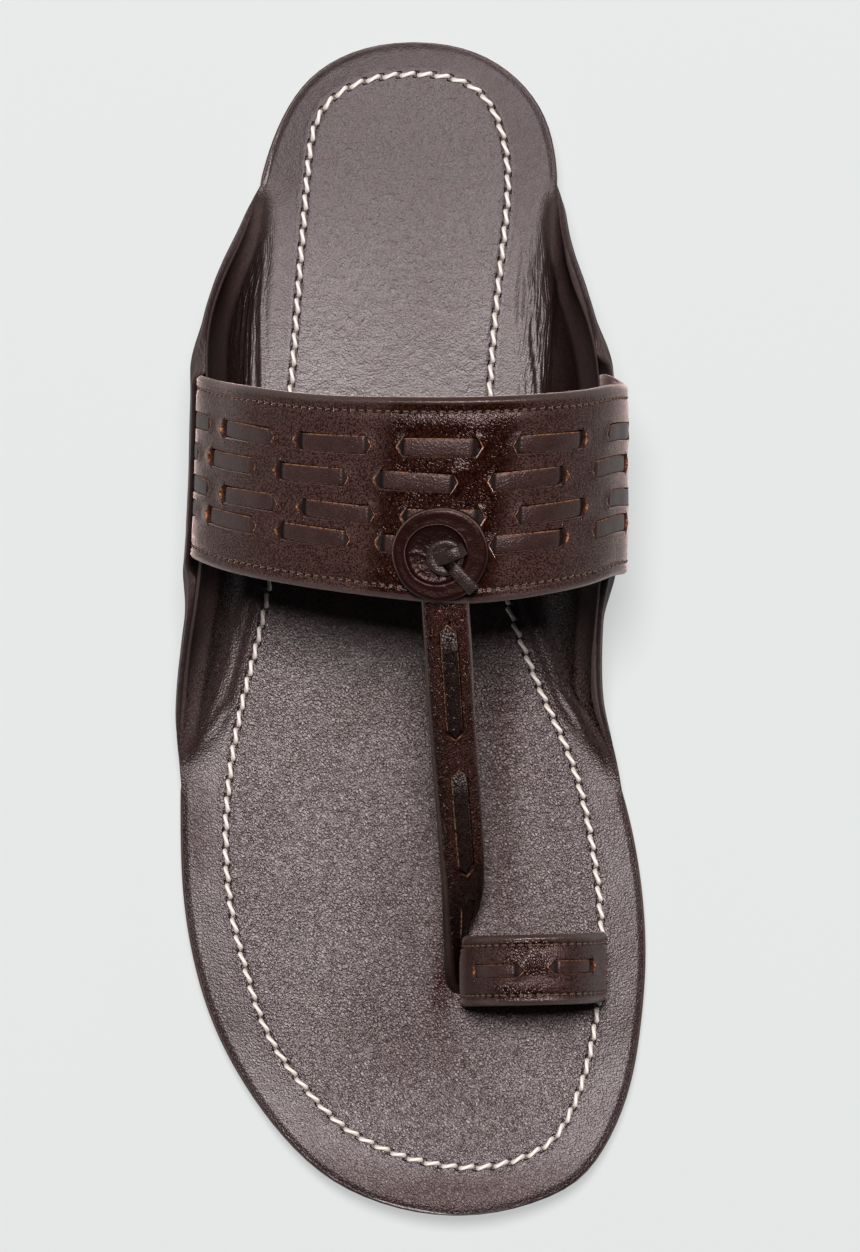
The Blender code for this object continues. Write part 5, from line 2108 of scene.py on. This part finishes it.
@dataclass(frozen=True)
class InstepStrap(LacedBand):
    """The instep strap, whose ends go between the two sheets of each wing.

    A row of laces has a place across the strap and the place along it of its middle lace. The laces' pitch
    stretches away from there, less on the lateral side. The worked middle lies between two places along the
    strap, leans by a share of the distance from a place across it, and fades inwards and outwards.
    """

    rows: tuple[tuple[float, float], ...] = ((11.3, 0.8), (19.2, -4.5), (27.4, 2.0), (33.7, -3.7))
    pitch: float = 25.7
    stretch: float = 0.45
    lateral_share: float = 0.7
    beside: int = 3
    lace_length: float = 16.0
    laced: float = 77.0
    shortest: float = 5.0
    lean: float = 0.5
    skive: tuple[float, float] = (0.12, 0.19)
    root_thick: float = 1.5
    glossy: tuple[float, float] = (-13.0, 17.0)
    glossy_lean: tuple[float, float] = (0.10, 20.0)
    glossy_fade: tuple[float, float] = (7.0, 6.0)
    crinkle_size: float = 7.0
    crinkle_height: float = 0.14
    crinkle_margin: tuple[float, float] = (1.5, 4.5)
    wave_height: float = 0.06
    stitched: float = 78.0
    breadth: float = 46.6
    seed: int = 31
    swells: tuple[Swell, ...] = (
        Swell(8.6, 9.6, 3.4, 2.0, 0.42),
        Swell(5.6, 16.4, 2.2, 1.7, 0.38),
        Swell(2.0, 6.6, 9.0, 1.6, 0.22),
        Swell(-9.5, 20.6, 3.0, 1.6, 0.22),
        Swell(13.5, 23.2, 3.0, 2.2, 0.22),
        Swell(-8.0, 43.0, 4.0, 1.4, 0.20),
        Swell(15.5, 43.4, 4.0, 1.4, 0.20),
    )

    def face(self) -> Face:
        """The outer face."""
        return Face(self.last.instep_grid(901, 49))

    def laces(self) -> tuple[Lace, ...]:
        """Four staggered rows."""
        half = 0.5 * self.lace_length
        found = []
        for row, (across, middle) in enumerate(self.rows):
            for number in range(-self.beside, self.beside + 1):
                share = 1.0 if number > 0 else self.lateral_share
                centre = middle + self.pitch * number + self.stretch * number**2 * share
                low, high = max(centre - half, -self.laced), min(centre + half, self.laced)
                if high - low > self.shortest:
                    found.append(Lace(across, low, high, self.lean * math.sin(2.3 * number + 1.7 * row)))
        return tuple(found)

    def thick(self, face: Face, along: Array) -> Array:
        """The thickness, skived towards both roots."""
        share = (along - face.along[0]) / (face.along[-1] - face.along[0])
        full = smoothstep(np.minimum(share, 1.0 - share), *self.skive)
        return self.root_thick + (self.strap_thick - self.root_thick) * full

    def gloss(self, along: Array, across: Array) -> Array:
        """The worked middle round the button."""
        low, high = self.glossy
        share, about = self.glossy_lean
        inwards, outwards = self.glossy_fade
        centre, half = 0.5 * (low + high), 0.5 * (high - low)
        away = np.abs(along - centre + share * (across - about))
        return 1.0 - smoothstep(away, half - inwards, half + outwards)

    def folds(self, along: Array, across: Array) -> Array:
        """Crinkles in the worked middle."""
        uneven = Unevenness(self.seed)
        worked = self.gloss(along, across)
        broad = uneven.layers(along / self.crinkle_size, across / self.crinkle_size, 2)
        inside = smoothstep(np.minimum(across, self.breadth - across), *self.crinkle_margin)
        height = worked * inside * self.crinkle_height * broad + self.wave_height * broad
        for swell in self.swells:
            near = bell(along - swell.along, swell.reach_along)
            height = height + swell.height * (near * bell(across - swell.across, swell.reach_across))
        return height

    def build(self, leather: Material, lace: Material, thread: Material) -> None:
        """Makes the strap, its laces and its seams."""
        self.leather("instep_strap", leather)
        self.lace_strips("instep_laces", lace)
        self.seam_stitches("instep_stitches", thread, -self.stitched, self.stitched)


@dataclass(frozen=True)
class ToeStrap(LacedBand):
    """The strap from under the instep strap to the post, which turns a quarter round on its way down.

    It has no seams: their distance from its edges is more than its width.
    """

    strap_thick: float = 2.8
    edge_drop: float = 0.8
    edge_reach: float = 1.5
    seam_in: float = 60.0
    seam_dip: float = 0.0
    lace_width: float = 3.9
    slit_point: float = 3.2
    rim_reach: tuple[float, float] = (0.3, 0.7)
    wall_raw: float = 0.5
    brim: float = 0.16
    shine: float = 0.85
    wave_height: float = 0.07
    black_foot: tuple[float, float] = (88.0, 108.0)
    black_edge: tuple[float, float] = (1.2, 2.6)
    black_edge_share: float = 0.7
    seed: int = 41
    woven: tuple[Lace, ...] = (
        Lace(5.6, 30.0, 55.0, shine=1.0, spear=1.0),
        Lace(5.6, 70.0, 95.0, shine=1.0, spear=1.0),
        Lace(5.6, 108.0, 119.0, spear=1.0),
    )

    def face(self) -> Face:
        """The outer face, half the strap's thickness above the rails."""
        rows = spline(np.array(TOE_STRAP) * MM, 241)
        lateral, medial = rows[:, :3], rows[:, 3:]
        middle = 0.5 * (lateral + medial)
        sides = unit(medial - lateral)
        normals = unit(np.cross(sides, np.gradient(middle, axis=0)))
        normals = normals * np.sign(normals[0, 2]) * 0.5 * self.strap_thick * MM
        share = np.linspace(0.0, 1.0, 13)[None, :, None]
        grid = lateral[:, None] * (1 - share) + medial[:, None] * share + normals[:, None]
        return Face(grid, origin=0.0)

    def gloss(self, along: Array, across: Array) -> Array:
        """Glossy all over."""
        return np.full_like(along, self.shine)

    def folds(self, along: Array, across: Array) -> Array:
        """A slight unevenness."""
        return self.wave_height * Unevenness(self.seed).layers(along / 6.0, across / 4.0, 3)

    def soil(self, along: Array, across: Array) -> Array:
        """Painted shade: black towards the foot, where it stands in the slot, and along the lateral edge."""
        lateral = self.black_edge_share * (1.0 - smoothstep(across, *self.black_edge))
        return np.maximum(smoothstep(along, *self.black_foot), lateral)

    def build(self, leather: Material, lace: Material) -> None:
        """Makes the strap and its laces."""
        self.leather("toe_strap", leather)
        self.lace_strips("toe_strap_laces", lace)


@dataclass(frozen=True)
class ToeLoop(LacedBand):
    """The big toe's loop, a squared arch whose feet stand in the insole."""

    station: float = 0.792
    middle: float = 0.263
    span: float = 34.6
    rise: float = 22.8
    width: float = 16.4
    squareness: float = 2.5
    rake: float = 0.7
    seam_in: float = 2.4
    edge_drop: float = 0.8
    edge_reach: float = 1.4
    seam_dip: float = 0.18
    lace_width: float = 3.0
    slit_half: float = 2.5
    slit_point: float = 2.5
    wall_raw: float = 0.6
    unstitched: float = 2.0
    least_gloss: float = 0.35
    wave_height: float = 0.04
    seed: int = 43
    swells: tuple[Swell, ...] = (
        Swell(-1.5, 6.4, 4.5, 2.6, 0.30),
        Swell(-4.0, 13.6, 6.0, 1.0, 0.16),
    )
    woven: tuple[Lace, ...] = (
        Lace(8.3, -16.4, -4.8, first_point=0.0),
        Lace(7.6, 5.6, 15.5, last_point=0.5),
    )

    def face(self) -> Face:
        """The outer face, from the lateral foot over the arch to the medial foot."""
        last = self.last
        foot = last.seat_height - last.insole_thick
        turns = np.linspace(math.pi, 0.0, 361)
        power = 2.0 / self.squareness
        half = 0.5 * (self.span - self.strap_thick) * MM
        rise = (self.rise - 0.5 * self.strap_thick) * MM
        x = half * np.sign(np.cos(turns)) * np.abs(np.cos(turns)) ** power
        z = last.seat_height + rise * np.clip(np.sin(turns), 0.0, 1.0) ** power
        x = np.concatenate([x[:1], x, x[-1:]]) + self.middle * last.ball_width
        z = np.concatenate([[foot], z, [foot]])
        y = np.full_like(x, last.place(self.station))
        path = np.stack([x, y, z], axis=1)
        even = np.linspace(0.0, 1.0, 301) * arc_lengths(path)[-1]
        path = np.stack([np.interp(even, arc_lengths(path), path[:, i]) for i in range(3)], axis=1)
        path[:, 1] += self.rake * MM * np.linspace(-1.0, 1.0, len(path))
        tangents = unit(np.gradient(path, axis=0))
        normals = unit(np.cross([0.0, -1.0, 0.0], tangents))
        normals *= np.sign(normals[len(path) // 2, 2])
        outer = path + normals * 0.5 * self.strap_thick * MM
        share = np.linspace(0.5, -0.5, 9)
        offset = np.stack([np.zeros(9), share * self.width * MM, np.zeros(9)], axis=1)
        return Face(outer[:, None] + offset[None])

    def gloss(self, along: Array, across: Array) -> Array:
        """Worked between the laces and along the front edge."""
        middle = bell(along + 1.5, 6.5) * (1.0 - smoothstep(across, 8.0, 11.0))
        front = bell(along + 4.0, 8.0) * smoothstep(across, 10.5, 12.5)
        return np.maximum(np.maximum(middle, front), self.least_gloss)

    def folds(self, along: Array, across: Array) -> Array:
        """A slight unevenness, and the soft rises between the laces."""
        height = self.wave_height * Unevenness(self.seed).layers(along / 5.0, across / 5.0, 2)
        for swell in self.swells:
            near = swell.height * bell(along - swell.along, swell.reach_along)
            height = height + near * bell(across - swell.across, swell.reach_across)
        return height

    def build(self, leather: Material, lace: Material, thread: Material) -> None:
        """Makes the loop, its laces and its seams."""
        self.leather("toe_loop", leather)
        self.lace_strips("toe_loop_laces", lace)
        low, high = self.face().along[[0, -1]]
        self.seam_stitches("toe_loop_stitches", thread, low + self.unstitched, high - self.unstitched)


# -------------------- Button and knot --------------------


class Turn(NamedTuple):
    """A ring of a turned profile: its radius and height over the strap."""

    radius: float
    height: float


@dataclass(frozen=True)
class Button:
    """The dished leather button on the instep strap.

    Each painted highlight has a radius and a reach, and is strongest on the side of the heel, where the
    light comes from.
    """

    face: Face
    middle: tuple[float, float]
    lift: float = 0.45
    dish_shift: float = 0.8
    dish_slide: tuple[float, float] = (6.2, 9.6)
    dish_edge: tuple[float, float] = (5.9, 6.6)
    out_of_round: float = 0.012
    crinkle_height: tuple[float, float] = (0.04, 0.05)
    outer_highlight: tuple[float, float] = (10.45, 0.24)
    inner_highlight: tuple[float, float] = (7.0, 0.18)
    inner_highlight_share: float = 0.9
    least_highlight: float = 0.35
    sides: int = 144
    seed: int = 51
    profile: tuple[Turn, ...] = (
        Turn(10.0, 0.00),
        Turn(10.5, 0.20),
        Turn(10.8, 0.80),
        Turn(10.8, 1.40),
        Turn(10.6, 1.95),
        Turn(10.2, 2.30),
        Turn(9.4, 2.42),
        Turn(8.2, 2.36),
        Turn(7.3, 2.38),
        Turn(6.9, 2.30),
        Turn(6.6, 1.80),
        Turn(6.2, 1.45),
        Turn(5.0, 1.20),
        Turn(3.4, 1.02),
        Turn(1.6, 0.98),
        Turn(0.4, 0.98),
    )

    def build(self, finish: Material) -> Object:
        """Makes the button."""
        profile = spline(self.profile, 61)
        out, up = profile[:, :1], profile[:, 1:]
        turn = np.linspace(0.0, 2.0 * math.pi, self.sides, endpoint=False)
        uneven = Unevenness(self.seed)
        radius = out * (1.0 + self.out_of_round * uneven.at(turn * 2.2, np.zeros(self.sides))[None])
        dish = 1.0 - smoothstep(out, *self.dish_edge)
        slide = self.dish_shift * (1.0 - smoothstep(out, *self.dish_slide))
        least, more = self.crinkle_height
        crinkle = uneven.layers(turn[None] * 5.1, out / 2.2, 3)
        crinkle = crinkle * (least + more * dish) * smoothstep(up, 0.5, 1.0)
        along = self.middle[0] - slide + radius * np.cos(turn)[None]
        across = self.middle[1] + radius * np.sin(turn)[None]
        loops = self.face.at(along, across, up + self.lift + crinkle)
        # Painted highlights on the rims, strongest towards the heel.
        towards = smoothstep(-np.sin(turn + 0.35), -0.55, 0.35)[None]
        heelward = self.least_highlight + (1.0 - self.least_highlight) * towards
        (outer_radius, outer_reach), (inner_radius, inner_reach) = self.outer_highlight, self.inner_highlight
        outer = bell(out - outer_radius, outer_reach) * smoothstep(up, 1.6, 2.0)
        inner = self.inner_highlight_share * bell(out - inner_radius, inner_reach) * smoothstep(up, 2.0, 2.25)
        draft = Draft()
        draft.loft(loops, dish=dish, rub=(outer + inner) * heelward)
        return fit(draft.piece("button_disc", finish, sharp=60.0), "button_leather", "button")


@dataclass(frozen=True)
class Knot:
    """The washer and the folded thong that hold the button."""

    face: Face
    middle: tuple[float, float]
    base: float = 2.05
    washer_radius: float = 4.2
    washer_height: float = 1.2
    washer_shift: tuple[float, float] = (1.3, 0.5)
    width: float = 3.0
    thick: float = 1.5
    squareness: tuple[float, float] = (0.4, 0.55)
    tail_tucked: float = 0.22
    fold: tuple[tuple[float, float, float], ...] = (
        (-0.4, 1.0, 3.4),
        (2.0, 0.0, 4.3),
        (4.2, -1.0, 4.2),
        (5.2, -1.5, 3.4),
    )
    tail: tuple[tuple[float, float, float], ...] = (
        (1.6, 1.0, 3.5),
        (3.4, 2.8, 3.8),
        (5.6, 5.2, 4.0),
        (8.0, 7.8, 3.9),
    )

    def thong(self, draft: Draft, bends: Sequence[Sequence[float]], tucked: float) -> None:
        """Adds a flat thong through bends above the strap, of which a share at its start is tucked away."""
        route = spline(bends, 33)
        path = self.face.at(self.middle[0] + route[:, 0], self.middle[1] + route[:, 1], route[:, 2])
        up = self.face.sample(*self.middle)[1]
        sides, over = sideways(path, up)
        turn = np.linspace(0.0, 2.0 * math.pi, 20, endpoint=False)
        square_side, square_over = self.squareness
        ring_side = 0.5 * self.width * np.sign(np.cos(turn)) * np.abs(np.cos(turn)) ** square_side
        ring_over = 0.5 * self.thick * np.sign(np.sin(turn)) * np.abs(np.sin(turn)) ** square_over
        ring = ring_side[None, :, None] * sides[:, None] + ring_over[None, :, None] * over[:, None]
        # Painted shade on the tucked share and along the flanks.
        hidden = 1.0 - smoothstep(np.linspace(0.0, 1.0, len(path)), tucked - 0.02, tucked + 0.12)
        flank = np.abs(np.cos(turn)) ** 6
        draft.loft(path[:, None] + MM * ring, side=flank, tucked=np.maximum(hidden[:, None], 0.6 * flank))

    def build(self, finish: Material) -> Object:
        """Makes the knot."""
        draft = Draft()
        radius, tall = self.washer_radius, self.washer_height
        profile = spline(
            (
                (0.3, 0.0),
                (0.85 * radius, 0.0),
                (radius, 0.3 * tall),
                (radius, 0.7 * tall),
                (0.92 * radius, tall),
                (0.6 * radius, 1.02 * tall),
                (0.2, 1.0 * tall),
            ),
            41,
        )
        turn = np.linspace(0.0, 2.0 * math.pi, 72, endpoint=False)
        along = self.middle[0] + self.washer_shift[0] + profile[:, :1] * np.cos(turn)[None]
        across = self.middle[1] + self.washer_shift[1] + profile[:, :1] * np.sin(turn)[None]
        # Painted shade low on the washer, where it meets the strap.
        low = 1.0 - smoothstep(profile[:, 1:], 0.25 * tall, 0.95 * tall)
        draft.loft(self.face.at(along, across, self.base + profile[:, 1:]), side=0.0, tucked=low)
        self.thong(draft, self.fold, -0.2)
        self.thong(draft, self.tail, self.tail_tucked)
        return fit(draft.piece("knot_thong", finish, sharp=60.0), "thong_leather", "knot")


# -------------------- Studio --------------------


class Light(NamedTuple):
    """A soft light, and how far from overhead it hangs towards the heel and the medial side, in degrees."""

    name: str
    to_heel: float
    to_medial: float
    distance: float
    size: float
    power: float
    colour: Colour = (1.0, 0.90, 0.91)


@dataclass(frozen=True)
class Studio:
    """The floor, the lights and the camera over the sandal."""

    tilt: float = 2.5
    camera_distance: float = 1.5
    camera_x: float = 4.47 * MM
    camera_y: float = 0.3 * MM
    target_height: float = 11.0 * MM
    lens: float = 183.3
    overhead: float = 0.015
    horizon: float = 1.05
    toe_share: float = 0.35
    side_share: float = 1.35
    wall_top: tuple[float, float] = (0.38, 0.02)
    wall_turn: tuple[float, float] = (0.25, 0.85)
    wall_colour: Colour = (0.97, 1.0, 0.99)
    floor_reach: float = 6.0
    floor_drop: float = 0.2 * MM
    lights: tuple[Light, ...] = (Light("key", 12.0, -1.0, 2.2, 0.70, 63.0),)

    def build(self, floor_paint: Material) -> None:
        """Sets up the studio."""
        scene = bpy.context.scene
        scene.view_settings.view_transform = "Standard"
        floor = bpy.data.meshes.new("floor")
        reach = self.floor_reach
        corners = [(-reach, -reach, 0.0), (reach, -reach, 0.0), (reach, reach, 0.0), (-reach, reach, 0.0)]
        floor.from_pydata(corners, [], [(0, 1, 2, 3)])
        floor.materials.append(floor_paint)
        ground = bpy.data.objects.new("floor", floor)
        ground.location.z = -self.floor_drop
        scene.collection.objects.link(ground)
        scene.world = self.surround()
        for light in self.lights:
            self.hang(light)
        camera = bpy.data.objects.new("camera", bpy.data.cameras.new("camera"))
        camera.data.lens = self.lens
        camera.data.clip_end = 20.0
        tilt = math.radians(self.tilt)
        camera.location = (
            self.camera_x,
            self.camera_y - self.camera_distance * math.sin(tilt),
            self.target_height + self.camera_distance * math.cos(tilt),
        )
        camera.rotation_euler = (tilt, 0.0, 0.0)
        scene.collection.objects.link(camera)
        scene.camera = camera

    def surround(self) -> bpy.types.World:
        """A dark ceiling over pale walls, paler beside the sandal than at its toe and heel."""
        paint = Paint("surround", bpy.data.worlds)
        parts = paint.add("ShaderNodeTexCoord", output="Generated")
        x, z = (paint.add("ShaderNodeSeparateXYZ", None, {"Vector": parts}, name) for name in ("X", "Z"))
        strength = z.slope(*self.wall_top, self.overhead, self.horizon)
        strength = strength * abs(x).slope(*self.wall_turn, self.toe_share, self.side_share)
        values = {"Color": (*self.wall_colour, 1.0), "Strength": strength}
        return paint.end("ShaderNodeOutputWorld", paint.add("ShaderNodeBackground", None, values))

    def hang(self, light: Light) -> None:
        """Hangs a soft light that faces the sandal."""
        data = bpy.data.lights.new(light.name, "AREA")
        data.shape = "DISK"
        data.size = light.size
        data.energy = light.power
        data.color = light.colour
        lamp = bpy.data.objects.new(light.name, data)
        heel, medial = math.radians(light.to_heel), math.radians(light.to_medial)
        direction = unit(np.array([math.tan(medial), math.tan(heel), 1.0]))
        lamp.location = direction * light.distance
        lamp.rotation_mode = "QUATERNION"
        lamp.rotation_quaternion = lamp.location.to_track_quat("Z", "Y")
        bpy.context.scene.collection.objects.link(lamp)


def main() -> None:
    """Builds the sandal piece by piece."""
    logging.basicConfig(level=logging.INFO, format="%(name)s: %(message)s")
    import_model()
    last = Last()
    seam = SoleSeam(last)
    outsole_leather = SoleLeather(
        name="outsole_leather",
        face=(0.030, 0.015, 0.012),
        cut=(0.085, 0.036, 0.024),
        fibres_per_metre=900.0,
    )
    Outsole(last).build(outsole_leather.paint())
    midsole_leather = SoleLeather(
        name="midsole_leather",
        face=(0.028, 0.017, 0.015),
        cut=(0.060, 0.040, 0.036),
        fibres_per_metre=2200.0,
    )
    Midsole(last).build(midsole_leather.paint())
    Insole(last, seam).build(InsoleLeather(pitch=seam.pitch()).paint())
    seam.build(Thread(name="cream_thread", light=(0.93, 0.90, 0.84), dark=(0.58, 0.53, 0.46)).paint())
    brown = Thread(name="brown_thread", light=(0.135, 0.075, 0.046), dark=(0.030, 0.012, 0.007)).paint()
    laces = LaceLeather(name="lace_leather").paint()
    strap = InstepStrap(last)
    strap.build(StrapLeather(name="instep_leather", stitch_pitch=strap.seam_pitch).paint(), laces, brown)
    toe_strap_leather = StrapLeather(
        name="toe_strap_leather",
        stitch_pitch=strap.seam_pitch,
        level=0.42,
        sheen=0.0,
        tint=(1.0, 0.74, 0.68),
        grain=0.17,
        polish=0.22,
        cell=0.56,
        crinkled=0.02,
        glossy=(0.046, 0.0086, 0.0041),
        glossy_dark=(0.010, 0.0023, 0.0014),
        raw=(0.50, 0.30, 0.17),
        # Lighter rims: a painted highlight.
        burnished=(0.080, 0.046, 0.040),
    )
    toe_lace_leather = LaceLeather(
        name="toe_lace_leather",
        level=0.26,
        gloss=1.0,
        face=(0.020, 0.0082, 0.0064),
        dark=(0.006, 0.0025, 0.0020),
        side=(0.42, 0.23, 0.13),
    )
    ToeStrap(last).build(toe_strap_leather.paint(), toe_lace_leather.paint())
    toe_loop_leather = StrapLeather(
        name="toe_loop_leather",
        stitch_pitch=strap.seam_pitch,
        level=0.40,
        sheen=0.1,
        grain=0.09,
        cell=0.60,
        crinkled=0.0,
    )
    ToeLoop(last).build(toe_loop_leather.paint(), laces, brown)
    face = strap.face()
    button_place = (1.9, 35.2)
    Button(face, button_place).build(ButtonLeather().paint())
    Knot(face, button_place).build(ThongLeather().paint())
    Studio().build(FloorPaint().paint())


if __name__ == "__main__":
    main()
